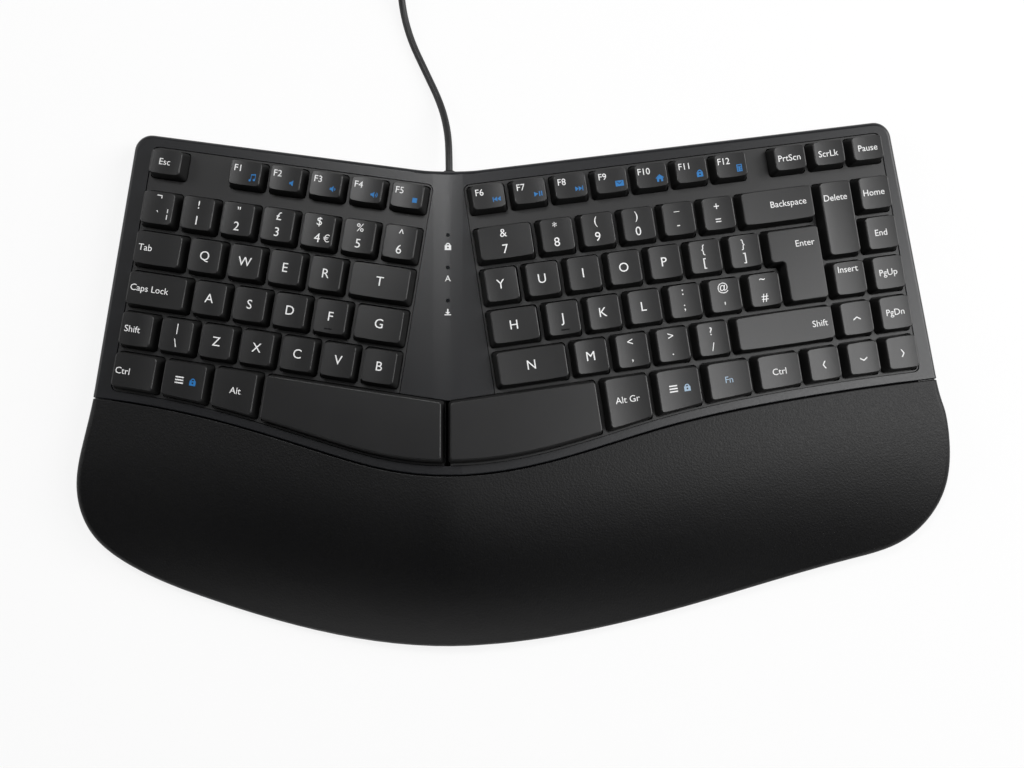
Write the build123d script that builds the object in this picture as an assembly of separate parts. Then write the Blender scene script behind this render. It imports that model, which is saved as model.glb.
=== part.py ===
from build123d import *
import math
import os

# Compact split keyboard with a raised middle ridge, in millimetres.
# Plan sizes are measured from the ridge, and every node is moved at the end so that the origin
# is the middle of the bounding box, on the surface that the rubber feet stand on.

# Key grid
PITCH = 19.0
FUNCTION_ROW_B = 99.4
FUNCTION_ROW_HEIGHT = 15.1
LEFT_COLUMNS = 7.0
RIGHT_COLUMNS = 10.5
KEY_TRAVEL = 3.0

# Deck: a shallow roof with its ridge along x = 0
RIDGE_HEIGHT = 35.0
TENT_LEFT = 6.0
TENT_RIGHT = 5.0
REARWARD_FALL = 1.5
RIDGE_ROUND = 70.0
LEFT_YAW = -8.96
RIGHT_YAW = 8.54
LEFT_GRID_CORNER = (-24.98, -2.67)
RIGHT_GRID_CORNER = (24.44, -2.99)

# Key caps
CAP_RISE = 7.0
CAP_SKIRT = 1.0
CAP_WALL = 1.25
CAP_ROOF = 1.6
BASE_INSET = 1.05
TOP_INSET = 2.1
BASE_CORNER = 1.4
TOP_CORNER = 1.7
TOP_EDGE_ROUND = 0.6
DISH_DEPTH = 0.4
SPACE_GAP_LEFT = 1.6
SPACE_GAP_RIGHT = 0.45
SPACE_LEAN = 0.4
FRONT_CORNER = 1.4
STEM_RADIUS = 3.0
STEM_END = -3.6
POST_RADIUS = 1.8
POST_MARGIN = 8.0
LONG_KEY = 33.0

# Key well, guides and the switch layers below, as depths under the deck surface
FIELD_MARGIN = 0.5
FIELD_CORNER = 3.0
FIELD_GAP = 0.3
SPACE_REAR_AT_RIDGE = 12.0
PLATE_DROP = 0.4
WINDOW_INSET = 0.6
WINDOW_CORNER = 1.8
GUIDE_TOP = 2.0
GUIDE_BORE = 3.3
GUIDE_RADIUS = 5.7
GUIDE_NECK = 4.7
DOME_POCKET = 4.8
POCKET_NECK = 3.9
POST_BORE = 2.2
POST_GUIDE = 3.4
SOCKET_DEPTH = 3.4
WEB_TOP = 4.4
WEB_THICKNESS = 0.8
FRAME_FLOOR = 6.9
FRAME_WALL = 1.2
RIDGE_SETBACK = 1.5
DOME_FOOT = 4.5
DOME_TOP = 2.7
DOME_HEIGHT = 3.0
DOME_SKIN = 0.7
SHEET = 0.4
MEMBRANE = 0.5
PLATE = 0.8
LAYER_INSET = 0.8
PLATE_UNDERSIDE = FRAME_FLOOR + SHEET + MEMBRANE + PLATE

# Case
WALL = 2.5
PARTING = 3.0
FLOOR_UNDERSIDE = 1.0
FLOOR_INSET = 0.6
LIP_HEIGHT = 2.0
LIP_WALL = 1.5
LIP_CLEARANCE = 0.3
COVER_ROUND = 2.0
SEAM_ROUND = 0.5
TRIM = 4.1
SEAM_GAP = 0.4
PALM_LOW = 8.0
PALM_ROUND = 3.0
PALM_SWELL = 2.4
REAR_APEX_Y = 116.0
REAR_APEX_ROUND = 108.0
REAR_CORNER_ROUND = 8.0

# Front edge line used by the palm rest's height: a hyperbola, almost straight away from the ridge
FRONT_Y = -102.2
FRONT_BEND = 40.0
FRONT_SLOPE_LEFT = 0.31
FRONT_SLOPE_RIGHT = 0.25
SEAM_Y = -21.7
SEAM_SLOPE = 0.27

# Corners of the plan outline, and the points of its curved stretches
REAR_LEFT = (-146.0, 138.1)
REAR_RIGHT = (208.7, 146.2)
SEAM_LEFT = (-164.6, 13.6)
SEAM_RIGHT = (229.8, 22.8)
SIDE_TANGENT = 5.0
PALM_LEFT_POINTS = [(-4.6, -20.0), (-7.9, -42.0), (-1.6, -62.6), (15.6, -77.6), (52.6, -93.8)]
PALM_FRONT_POINTS = [(-62.0, -95.0), (-6.0, -102.2), (54.0, -97.3)]
PALM_RIGHT_POINTS = [(-116.8, -106.6), (-40.0, -84.9), (-14.0, -75.6), (2.4, -56.3), (6.4, -37.0), (4.2, -15.0)]
SEAM_LEFT_POINTS = [(26.9, -3.4), (69.7, -13.2), (110.4, -25.6), (137.6, -32.8)]
SEAM_MIDDLE = (-1.0, SEAM_Y)
SEAM_RIGHT_POINTS = [(-202.8, -42.3), (-166.6, -33.6), (-132.8, -23.3), (-71.5, -10.0), (-24.8, -2.8)]
SEAM_OVERRUN = 12.0

# Fasteners and feet
SCREW_SHAFT = 1.2
SCREW_HEAD = 2.3
SCREW_HEAD_HEIGHT = 1.4
SCREW_LENGTH = 6.5
SCREW_CLEARANCE = 0.1
RIM_POST = 2.9
PALM_POST = 3.4
PAD_RADIUS = 4.0
PAD_TOP = 5.0
POST_GAP = 0.3
LUG_DROP = 9.2
RIM_LUGS = [(-70.0, 122.8), (60.0, 120.9), (150.0, 133.9)]
COVER_POSTS = [(-140.2, 133.1), (-160.0, 20.0), (225.0, 30.0), (0.0, 33.0)]
PALM_POSTS = [(-155.0, -30.0), (-80.0, -70.0), (0.0, -84.0), (95.0, -68.0), (218.0, -22.0)]
SCREW_PLACES = RIM_LUGS + COVER_POSTS + PALM_POSTS
SUPPORT_RADIUS = 3.0
SUPPORT_PLACES = [(-132.0, 45.0), (-80.0, 25.0), (-45.0, 92.0), (-30.0, 20.0), (35.0, 20.0), (50.0, 85.0),
                  (95.0, 35.0), (105.0, 100.0), (160.0, 60.0), (185.0, 105.0)]
RUBBER_PAD = (26.0, 9.0)
RUBBER_PLACES = [(-146.0, -45.0, 25.0), (-40.0, -88.0, 10.0), (205.0, -45.0, -20.0), (-118.0, 122.0, 8.0), (185.0, 132.0, -8.0)]
FOOT_LEFT_X = -100.0
FOOT_RIGHT_X = 130.0
FOOT_HINGE_INSET = 20.0
FOOT_WIDTH = 24.0
FOOT_LENGTH = 20.0
FOOT_THICKNESS = 4.0
FOOT_GAP = 0.5
FOOT_REAR_GAP = 1.0
HINGE_RADIUS = 1.5
HINGE_CLEARANCE = 0.08
HINGE_HEIGHT = 4.4
WELL_ROOF = 8.0
WELL_WALL = 1.6
TIP_LENGTH = 5.0

# Indicator board and light pipes
BOARD = (26.0, 64.0, 1.6)
BOARD_PLACE = (0.0, 78.0)
BOARD_HEIGHT = 17.0
BOARD_POST = 2.5
LIGHT_PLACES = [87.4, 72.5, 57.3]
LIGHT_RADIUS = 0.8
LIGHT_BORE = 0.95
LAMP_HEIGHT = 1.4

# Cable: grommet, visible lead, put-away coil and plug
CABLE_RADIUS = 1.7
CABLE_HEIGHT = 14.0
GROMMET_RADIUS = 3.2
GROMMET_OUT = 3.6
GROMMET_FLANGE = 4.6
GROMMET_FLANGE_WIDTH = 2.0
CABLE_INSIDE = 9.0
LEAD_POINTS = [(-0.8, 141.0, 8.6), (-4.5, 156.0, 3.0), (-12.0, 172.0, 1.8), (-19.5, 188.0, 1.8),
               (-23.5, 204.0, 2.8), (-23.8, 219.0, 8.4), (-22.0, 233.0, 14.9)]
COIL_MEAN_RADIUS = 18.7
COIL_STEP = 4.4
COIL_LAYER_QUARTERS = [10, 10, 10, 9]
COIL_CLIMB_QUARTERS = 2
COIL_START_Y = 252.0
PLUG_GRIP = (30.0, 13.0, 7.6)
PLUG_SHELL = (18.5, 12.0, 4.5)
PLUG_SHELL_WALL = 0.4
PLUG_TONGUE = 1.9
TAIL_RUN = 24.0

LEFT, RIGHT = -1, 1
nodes = {}


# Frames

def slope_of(side):
    return math.tan(math.radians(TENT_LEFT if side == LEFT else TENT_RIGHT))


FALL = math.tan(math.radians(REARWARD_FALL))


def deck_height(x, y):
    side = LEFT if x < 0 else RIGHT
    return RIDGE_HEIGHT - slope_of(side) * abs(x) - FALL * y


def deck_plane(side):
    corner = LEFT_GRID_CORNER if side == LEFT else RIGHT_GRID_CORNER
    yaw = math.radians(LEFT_YAW if side == LEFT else RIGHT_YAW)
    rise = -side * slope_of(side)
    along = Vector(math.cos(yaw), math.sin(yaw), rise * math.cos(yaw) - FALL * math.sin(yaw))
    normal = Vector(-rise, FALL, 1)
    return Plane(origin=(*corner, deck_height(*corner)), x_dir=along, z_dir=normal)


DECKS = {LEFT: deck_plane(LEFT), RIGHT: deck_plane(RIGHT)}


def on_deck(side, x, y):
    local = DECKS[side].to_local_coords(Vector(x, y, deck_height(x, y)))
    return (local.X, local.Y)


def ridge_edge(side, b, gap):
    # Where a row line of one deck comes within a gap of the ridge, in that deck's own coordinates
    plane = DECKS[side]
    reach = (side * gap - plane.origin.X - b * plane.y_dir.X) / plane.x_dir.X
    return (reach, b)


def flat(face, height=0.0):
    return Pos(0, 0, height) * face


# Plan outline

def moved(points, origin):
    return [(origin[0] + x, origin[1] + y) for x, y in points]


def seam_points(shift=0.0):
    left = [(SEAM_LEFT[0] - SEAM_OVERRUN, SEAM_LEFT[1] + 1.5)] + moved(SEAM_LEFT_POINTS, SEAM_LEFT)
    right = moved(SEAM_RIGHT_POINTS, SEAM_RIGHT) + [(SEAM_RIGHT[0] + SEAM_OVERRUN, SEAM_RIGHT[1] + 1.5)]
    return [(x, y + shift) for x, y in left + [SEAM_MIDDLE] + right]


def inset_polygon(points, inset):
    # Shifts each side of a closed anticlockwise polygon inwards by the same distance
    count = len(points)
    shifted = []
    for i in range(count):
        before, here, after = points[i - 1], points[i], points[(i + 1) % count]
        first = (here[0] - before[0], here[1] - before[1])
        second = (after[0] - here[0], after[1] - here[1])
        n1 = (-first[1] / math.hypot(*first), first[0] / math.hypot(*first))
        n2 = (-second[1] / math.hypot(*second), second[0] / math.hypot(*second))
        share = inset / (1 + n1[0] * n2[0] + n1[1] * n2[1])
        shifted.append((here[0] + (n1[0] + n2[0]) * share, here[1] + (n1[1] + n2[1]) * share))
    return shifted


def pushed(point, direction, distance):
    # A point moved to the left of a direction
    side = Vector(-direction.Y, direction.X).normalized()
    return Vector(*point) + side * distance


def case_outline(inset=0.0):
    # Anticlockwise. The palm rest's curve begins on the straight sides, a little behind the seam
    left_side = (Vector(*SEAM_LEFT) - Vector(*REAR_LEFT)).normalized()
    right_side = (Vector(*REAR_RIGHT) - Vector(*SEAM_RIGHT)).normalized()
    left_end = Vector(*SEAM_LEFT) - left_side * SIDE_TANGENT
    right_end = Vector(*SEAM_RIGHT) + right_side * SIDE_TANGENT
    points = [left_end] + moved(PALM_LEFT_POINTS, SEAM_LEFT) + PALM_FRONT_POINTS
    points += moved(PALM_RIGHT_POINTS, SEAM_RIGHT) + [right_end]
    palm = Spline(*points, tangents=[left_side, right_side])
    if inset:
        directions = [palm.tangent_at(palm.param_at_point(Vector(*p))) for p in points]
        points = [pushed(p, d, inset) for p, d in zip(points, directions)]
        palm = Spline(*points, tangents=[left_side, right_side])
    rear = [REAR_RIGHT, (0, REAR_APEX_Y), REAR_LEFT]
    chain = [tuple(right_end)[:2]] + rear + [tuple(left_end)[:2]]
    corners = inset_polygon(chain, inset)[1:4]
    ends = [points[-1]] + corners + [points[0]]
    edges = [palm] + [Line(p, q) for p, q in zip(ends, ends[1:])]
    face = make_face(edges)
    rear_corners = face.vertices().filter_by(lambda v: v.Y > REAR_APEX_Y + 8)
    face = fillet(rear_corners, REAR_CORNER_ROUND - inset)
    apex = face.vertices().sort_by_distance(corners[1])[0]
    return fillet(apex, REAR_APEX_ROUND + inset)


OUTLINE = case_outline()
HIGH = 80.0
FAR = 320.0


def behind_seam(shift):
    points = seam_points(shift)
    top_left = (points[0][0], FAR)
    top_right = (points[-1][0], FAR)
    return make_face([Spline(*points), Polyline(points[-1], top_right, top_left, points[0])])


def prism(face, low, high):
    return extrude(flat(face, low), amount=high - low, dir=(0, 0, 1))


def under_deck(drop, rounded=True):
    # Everything below both deck surfaces, lowered by a drop
    half = {}
    for side in (LEFT, RIGHT):
        plane = DECKS[side].offset(-drop)
        half[side] = plane * Pos(0, 0, -FAR) * Box(4 * FAR, 4 * FAR, 2 * FAR)
    roof = half[LEFT] & half[RIGHT]
    if not rounded:
        return roof
    ridge = roof.edges().filter_by(lambda e: abs(e.center().X) < 5 and abs(e.tangent_at(0.5).Y) > 0.9)
    return fillet(ridge.sort_by(Axis.Z)[-1], RIDGE_ROUND)


# Key field of each deck, in that deck's own coordinates

def ahead_of_border(side, back):
    # Everything in front of the field's curved front border, moved back by a distance
    border = [on_deck(side, x, y + back) for x, y in seam_points(TRIM)]
    near_corners = [(border[-1][0], -200), (border[0][0], -200)]
    return make_face([Spline(*border), Polyline(border[-1], *near_corners, border[0])])


def field_outline(side, margin, setback=0.0):
    # The part of the deck that holds the keys. Behind the space bar it stops short of the ridge
    rear = FUNCTION_ROW_B + FUNCTION_ROW_HEIGHT + margin
    outer = -LEFT_COLUMNS * PITCH - margin if side == LEFT else RIGHT_COLUMNS * PITCH + margin
    inner = -side * margin
    space_rear = on_deck(side, 0, SPACE_REAR_AT_RIDGE)[1] + margin - FIELD_MARGIN
    corners = [(outer, rear), (inner, rear), (inner, space_rear), ridge_edge(side, space_rear, setback),
               ridge_edge(side, -60, setback), (outer, -60)]
    return make_face(Polyline(*corners, close=True)) - ahead_of_border(side, FIELD_MARGIN - margin)


def rounded_field(side, margin, setback=0.0):
    # The corners at the ridge stay sharp, because the two fields meet there
    shape = field_outline(side, margin, setback)
    corners = [v for v in shape.vertices() if abs(v.X) > 4 * PITCH or v.Y > 2 * PITCH]
    return fillet(corners, FIELD_CORNER + max(margin - FIELD_MARGIN, 0))


def on_plane(side, shape):
    return DECKS[side] * shape


# Key caps

def cap_section(polygon, corner, height):
    return flat(make_face(FilletPolyline(*polygon, radius=corner, close=True)), height)


def tapered(key, wall, low, high):
    base = cap_section(key["outline"](BASE_INSET, wall), BASE_CORNER, low)
    return loft([base, cap_section(key["outline"](TOP_INSET, wall), TOP_CORNER, high)])


def front_cutter(side, wall):
    # Everything in front of the curved front border, leaning back like the other sides of a cap
    low = ahead_of_border(side, FIELD_MARGIN + BASE_INSET + wall)
    high = ahead_of_border(side, FIELD_MARGIN + TOP_INSET + wall)
    return loft([flat(low, -CAP_SKIRT), flat(high, CAP_RISE)], ruled=True)


CUTTERS = {(side, wall): front_cutter(side, wall) for side in (LEFT, RIGHT) for wall in (0.0, CAP_WALL)}


def dish(points):
    # A shallow cylinder along the column direction, as wide as the flat of the cap's top
    xs = [p[0] for p in points]
    half = (max(xs) - min(xs)) / 2 - TOP_INSET - TOP_EDGE_ROUND
    radius = (half * half + DISH_DEPTH * DISH_DEPTH) / (2 * DISH_DEPTH)
    middle = (max(xs) + min(xs)) / 2
    return Pos(middle, 0, CAP_RISE - DISH_DEPTH + radius) * Rot(90, 0, 0) * Cylinder(radius, 4 * FAR)


def key_cap(side, key):
    body = tapered(key, 0.0, -CAP_SKIRT, CAP_RISE)
    hollow = tapered(key, CAP_WALL, -CAP_SKIRT - 0.01, CAP_RISE - CAP_ROOF)
    if key["trimmed"]:
        body -= CUTTERS[(side, 0.0)]
        hollow -= CUTTERS[(side, CAP_WALL)]
        upright_edges = body.edges().filter_by(lambda e: abs(e.tangent_at(0.5).Z) > 0.8)
        body = fillet(upright_edges.sort_by(Axis.Y)[:2], FRONT_CORNER)
    rim = body.faces().sort_by(Axis.Z)[-1].edges()
    body = fillet(rim, TOP_EDGE_ROUND)
    if key["dished"]:
        body -= dish(key["points"])
    body -= hollow
    for place, radius in key["stems"]:
        low = STEM_END
        high = CAP_RISE - CAP_ROOF + 0.2
        body += Pos(*place, (low + high) / 2) * Cylinder(radius, high - low)
    return on_plane(side, body)


def key_of(name, points, trimmed=False, dished=True, centre=None, tall=False):
    xs = [p[0] for p in points]
    ys = [p[1] for p in points]
    middle = centre or ((min(xs) + max(xs)) / 2, (min(ys) + max(ys)) / 2)
    stems = [(middle, STEM_RADIUS)]
    if max(xs) - min(xs) > LONG_KEY:
        stems += [((min(xs) + POST_MARGIN, middle[1]), POST_RADIUS), ((max(xs) - POST_MARGIN, middle[1]), POST_RADIUS)]
    if tall:
        stems += [((middle[0], min(ys) + POST_MARGIN), POST_RADIUS), ((middle[0], max(ys) - POST_MARGIN), POST_RADIUS)]

    def outline(inset, wall=0.0, past_ridge=0.0):
        return inset_polygon(points, inset + wall)

    return {"name": name, "points": points, "outline": outline, "trimmed": trimmed, "dished": dished, "stems": stems}


def row_keys(start, b, entries, height=PITCH):
    keys = []
    a = start * PITCH
    for name, width in entries:
        end = a + width * PITCH
        keys.append(key_of(name, [(a, b), (end, b), (end, b + height), (a, b + height)]))
        a = end
    return keys


def bottom_row(start, entries):
    # These caps run forward to the curved border, which trims their front edge
    keys = []
    a = start * PITCH
    for name, width in entries:
        end = a + width * PITCH
        points = [(a, -PITCH), (end, -PITCH), (end, PITCH), (a, PITCH)]
        keys.append(key_of(name, points, trimmed=True, centre=((a + end) / 2, 0.46 * PITCH)))
        a = end
    return keys


def space_key(side, name, outer_columns):
    # The inner side stays clear of the ridge at every height, so it is set from the ridge itself
    outer = side * outer_columns * PITCH
    front = -1.4 * PITCH
    clear = SPACE_GAP_LEFT if side == LEFT else SPACE_GAP_RIGHT

    def outline(inset, wall=0.0, past_ridge=0.0):
        gap = clear + wall + SPACE_LEAN * (inset - BASE_INSET) / (TOP_INSET - BASE_INSET) - past_ridge
        rear = PITCH - inset - wall
        outside = outer - side * (inset + wall)
        polygon = [(outside, front), ridge_edge(side, front, gap), ridge_edge(side, rear, gap), (outside, rear)]
        return polygon if side == LEFT else polygon[::-1]

    middle = (side * 0.42 * outer_columns * PITCH, 0.2 * PITCH)
    stems = [(middle, STEM_RADIUS), ((outer - side * 11, middle[1]), POST_RADIUS),
             ((-side * 12, 0.05 * PITCH), POST_RADIUS)]
    return {"name": name, "outline": outline, "trimmed": True, "dished": False, "stems": stems}


def even(names):
    return [(name, 1.0) for name in names]


ROWS = [0.0, PITCH, 2 * PITCH, 3 * PITCH, 4 * PITCH]

LEFT_KEYS = (
    bottom_row(-7.0, [("ctrl_l", 1.25), ("menu_l", 1.25), ("alt_l", 1.25)])
    + [space_key(LEFT, "space_left", 3.25)]
    + row_keys(-7.0, ROWS[1], even(["shift_l", "backslash", "z", "x", "c", "v", "b"]))
    + row_keys(-7.0, ROWS[2], [("caps", 1.65)] + even("asdf") + [("g", 1.35)])
    + row_keys(-7.0, ROWS[3], [("tab", 1.36)] + even("qwer") + [("t", 1.64)])
    + row_keys(-7.0, ROWS[4], even(["grave", "1", "2", "3", "4", "5", "6"]))
    + row_keys(-7.0, FUNCTION_ROW_B, [("esc", 1.0)], FUNCTION_ROW_HEIGHT)
    + row_keys(-5.0, FUNCTION_ROW_B, even(["f1", "f2", "f3", "f4", "f5"]), FUNCTION_ROW_HEIGHT)
)

ENTER_LEFT = 7.0 * PITCH
ENTER_STEP = 7.333 * PITCH
ENTER_RIGHT = 8.5 * PITCH
ENTER = key_of("enter", [(ENTER_STEP, ROWS[2]), (ENTER_RIGHT, ROWS[2]), (ENTER_RIGHT, ROWS[4]),
                         (ENTER_LEFT, ROWS[4]), (ENTER_LEFT, ROWS[3]), (ENTER_STEP, ROWS[3])],
               dished=False, centre=((ENTER_STEP + ENTER_RIGHT) / 2, ROWS[3]), tall=True)
DELETE = key_of("delete", [(ENTER_RIGHT, ROWS[3]), (ENTER_RIGHT + PITCH, ROWS[3]),
                           (ENTER_RIGHT + PITCH, ROWS[4] + PITCH), (ENTER_RIGHT, ROWS[4] + PITCH)], tall=True)

RIGHT_KEYS = (
    [space_key(RIGHT, "space_right", 2.46)]
    + bottom_row(2.46, [("alt_gr", 1.26), ("menu_r", 1.26), ("fn", 1.26), ("ctrl_r", 1.26)]
                 + even(["left", "down", "right"]))
    + row_keys(0.0, ROWS[1], [("n", 1.87)] + even(["m", "comma", "dot", "slash"]) + [("shift_r", 2.63)])
    + row_keys(8.5, ROWS[1], even(["up", "page_down"]))
    + row_keys(0.0, ROWS[2], [("h", 1.333)] + even(["j", "k", "l", "semicolon", "quote", "hash"]))
    + row_keys(8.5, ROWS[2], even(["insert", "page_up"]))
    + row_keys(0.0, ROWS[3], even(["y", "u", "i", "o", "p", "bracket_open", "bracket_close"]))
    + row_keys(9.5, ROWS[3], even(["end"]))
    + [ENTER, DELETE]
    + row_keys(0.0, ROWS[4], [("7", 1.5)] + even(["8", "9", "0", "minus", "equals"]) + [("backspace", 2.0)])
    + row_keys(9.5, ROWS[4], even(["home"]))
    + row_keys(0.0, FUNCTION_ROW_B, even(["f6", "f7", "f8", "f9", "f10", "f11", "f12"]), FUNCTION_ROW_HEIGHT)
    + row_keys(7.5, FUNCTION_ROW_B, even(["print", "scroll", "pause"]), FUNCTION_ROW_HEIGHT)
)

# Keys that share a node, because a part has room for only so many; every other key has its own
SHARED = {
    "keys_modifier_left": ["tab", "caps", "shift_l", "ctrl_l", "menu_l", "alt_l"],
    "keys_modifier_right": ["shift_r", "alt_gr", "menu_r", "fn", "ctrl_r"],
    "keys_symbol_left": ["grave", "backslash"],
    "keys_symbol_right": ["minus", "equals", "bracket_open", "bracket_close", "semicolon", "quote", "hash",
                          "comma", "dot", "slash"],
    "keys_number_left": ["1", "2", "3", "4", "5", "6"],
    "keys_number_right": ["7", "8", "9", "0"],
    "keys_function_left": ["esc", "f1", "f2", "f3", "f4", "f5"],
    "keys_function_right": ["f6", "f7", "f8", "f9", "f10", "f11", "f12"],
    "keys_navigation": ["print", "scroll", "pause", "delete", "home", "end", "insert", "page_up", "page_down"],
    "keys_arrow": ["left", "down", "right", "up"],
}
NODE_OF = {key: node for node, keys in SHARED.items() for key in keys}


def make_keys():
    for side, keys in ((LEFT, LEFT_KEYS), (RIGHT, RIGHT_KEYS)):
        for key in keys:
            node = NODE_OF.get(key["name"], "key_" + key["name"])
            nodes.setdefault(node, []).append(key_cap(side, key))


# Key frames and the switch layers

def stems_of(side):
    keys = LEFT_KEYS if side == LEFT else RIGHT_KEYS
    return [stem for key in keys for stem in key["stems"]]


def discs(places, radius):
    return Sketch() + [Pos(*place) * Circle(radius) for place in places]


def window(side, key):
    # The opening that one key moves in
    opening = cap_section(key["outline"](WINDOW_INSET, past_ridge=PITCH / 2), WINDOW_CORNER, 0)
    if not key["trimmed"]:
        return opening
    opening -= ahead_of_border(side, FIELD_MARGIN + WINDOW_INSET)
    front = opening.vertices().sort_by(Axis.Y)[:2]
    return fillet(front, FRONT_CORNER)


def field_plate(side):
    # The lattice that is seen between the keys, with its walls down to the web
    keys = LEFT_KEYS if side == LEFT else RIGHT_KEYS
    windows = Sketch() + [window(side, key) for key in keys]
    lattice = rounded_field(side, FIELD_MARGIN - FIELD_GAP, RIDGE_SETBACK) - windows
    return extrude(flat(lattice, -WEB_TOP), WEB_TOP - PLATE_DROP)


def column(places, radius, low, high):
    return extrude(flat(discs(places, radius), low), high - low)


def key_frame(side):
    main = [place for place, radius in stems_of(side) if radius == STEM_RADIUS]
    posts = [place for place, radius in stems_of(side) if radius == POST_RADIUS]
    outer = rounded_field(side, FIELD_MARGIN + FRAME_WALL, RIDGE_SETBACK)
    inner = rounded_field(side, FIELD_MARGIN, RIDGE_SETBACK + FRAME_WALL)
    well = rounded_field(side, FIELD_MARGIN)
    shape = extrude(flat(outer, -FRAME_FLOOR), FRAME_FLOOR - WALL)
    shape -= extrude(flat(well, -WEB_TOP), WEB_TOP)
    shape -= extrude(flat(inner, -FRAME_FLOOR - 1), FRAME_FLOOR + 1 - WEB_TOP - WEB_THICKNESS)
    # Above the web a guide is slimmer, so that the smallest caps come down around it
    inside_web = -WEB_TOP - WEB_THICKNESS / 2
    shape += column(main, GUIDE_RADIUS, -FRAME_FLOOR, inside_web)
    shape += column(main, GUIDE_NECK, inside_web, -GUIDE_TOP)
    shape += column(posts, POST_GUIDE, -FRAME_FLOOR, -GUIDE_TOP)
    shape += field_plate(side)
    shape -= column(main, GUIDE_BORE, -FRAME_FLOOR, 0)
    shape -= column(main, DOME_POCKET, -FRAME_FLOOR - 1, -WEB_TOP - WEB_THICKNESS)
    shape -= column(main, POCKET_NECK, -FRAME_FLOOR - 1, -SOCKET_DEPTH)
    shape -= column(posts, POST_BORE, -FRAME_FLOOR - 1, 0)
    return on_plane(side, shape)


def layer(side, top, thickness):
    face = rounded_field(side, FIELD_MARGIN - LAYER_INSET, RIDGE_SETBACK + FRAME_WALL)
    return extrude(flat(face, -top - thickness), thickness)


def dome_sheet(side):
    shape = layer(side, FRAME_FLOOR, SHEET)
    inner_height = DOME_HEIGHT - DOME_SKIN
    for place, radius in stems_of(side):
        if radius != STEM_RADIUS:
            continue
        outside = Cone(DOME_FOOT, DOME_TOP, DOME_HEIGHT, align=(Align.CENTER, Align.CENTER, Align.MIN))
        inside = Cone(DOME_FOOT - DOME_SKIN, DOME_TOP - DOME_SKIN, inner_height,
                      align=(Align.CENTER, Align.CENTER, Align.MIN))
        shape += Pos(*place, -FRAME_FLOOR) * (outside - inside)
    return on_plane(side, shape)


def make_switch_layers():
    for side, word in ((LEFT, "left"), (RIGHT, "right")):
        nodes["key_frame_" + word] = [key_frame(side)]
        nodes.setdefault("dome_sheets", []).append(dome_sheet(side))
        nodes.setdefault("contact_membranes", []).append(on_plane(side, layer(side, FRAME_FLOOR + SHEET, MEMBRANE)))
        plate_top = FRAME_FLOOR + SHEET + MEMBRANE
        nodes.setdefault("back_plates", []).append(on_plane(side, layer(side, plate_top, PLATE)))


# Case

def openings(depth):
    cuts = []
    for side in (LEFT, RIGHT):
        face = rounded_field(side, FIELD_MARGIN)
        cuts.append(on_plane(side, extrude(flat(face, -depth), depth + 20)))
    return cuts


def upright(place, radius, low, high):
    return Pos(*place, low) * Cylinder(radius, high - low, align=(Align.CENTER, Align.CENTER, Align.MIN))


def screw_post(place, radius, top):
    return upright(place, radius, PAD_TOP + POST_GAP, top)


def screw_bore(place):
    top = FLOOR_UNDERSIDE + SCREW_HEAD_HEIGHT + SCREW_LENGTH + 0.4
    return upright(place, SCREW_SHAFT + SCREW_CLEARANCE, 0, top)


def make_top_cover():
    plan = OUTLINE & behind_seam(0.0)
    shell = prism(plan, PARTING, HIGH) & under_deck(0.0)
    shell = fillet(shell.edges().filter_by(is_cover_rim), COVER_ROUND)
    room_plan = case_outline(WALL) & behind_seam(WALL)
    room = prism(room_plan, 0, HIGH) & under_deck(WALL, rounded=False)
    shell -= room
    for cut in openings(WALL + 12):
        shell -= cut
    seam = shell.edges().filter_by(
        lambda e: is_seam(e) and abs(e.center().Z - deck_height(e.center().X, e.center().Y)) < 1)
    shell = fillet(seam, SEAM_ROUND)
    for place in COVER_POSTS:
        shell += screw_post(place, RIM_POST, deck_height(*place) - WALL / 2)
    for place in RIM_LUGS:
        shell += screw_post(place, RIM_POST, deck_height(*place) - LUG_DROP)
    for place in COVER_POSTS + RIM_LUGS:
        shell -= screw_bore(place)
    for y in LIGHT_PLACES:
        shell -= Pos(0, y, RIDGE_HEIGHT) * Cylinder(LIGHT_BORE, 12)
    shell -= cable_hole()
    nodes["top_cover"] = [shell]


def from_outline(point, edges):
    return min(e.distance_to(Vector(point.X, point.Y, 0)) for e in edges)


def is_cover_rim(edge):
    # The upper edge along the sides and the rear; the seam's own edge meets the palm rest square
    middle = edge.center()
    around = [e for e in OUTLINE.edges() if e.geom_type != GeomType.BSPLINE]
    return from_outline(middle, around) < 0.5 and abs(middle.Z - deck_height(middle.X, middle.Y)) < 1.5


def is_seam(edge):
    middle = edge.center()
    curve = Spline(*seam_points())
    return curve.distance_to(Vector(middle.X, middle.Y, 0)) < 1


def cable_hole():
    return Pos(0, REAR_APEX_Y, CABLE_HEIGHT) * Rot(90, 0, 0) * Cylinder(GROMMET_RADIUS, 8)


def palm_height(x, y):
    slope = FRONT_SLOPE_LEFT if x < 0 else FRONT_SLOPE_RIGHT
    reach = math.hypot(x, FRONT_BEND) - FRONT_BEND
    front = FRONT_Y + slope * reach
    span = SEAM_Y + SEAM_SLOPE * reach - front
    left = max(0.0, 1 - (y - front) / span)
    smooth = math.sqrt(x * x + 36.0) - 6.0
    side = LEFT if x < 0 else RIGHT
    roof = RIDGE_HEIGHT - 0.3 - slope_of(side) * smooth - FALL * y
    return PALM_LOW + (roof - PALM_LOW) * (1 - left ** PALM_SWELL)


PALM_X = [-190, -165, -140, -115, -90, -70, -52, -36, -22, -11, 0, 11, 22, 36, 52, 70, 95, 120, 150, 180, 210, 250]
PALM_Y = [-112, -100, -88, -76, -62, -48, -34, -20, -8, 4, 16, 30, 44]


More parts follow.
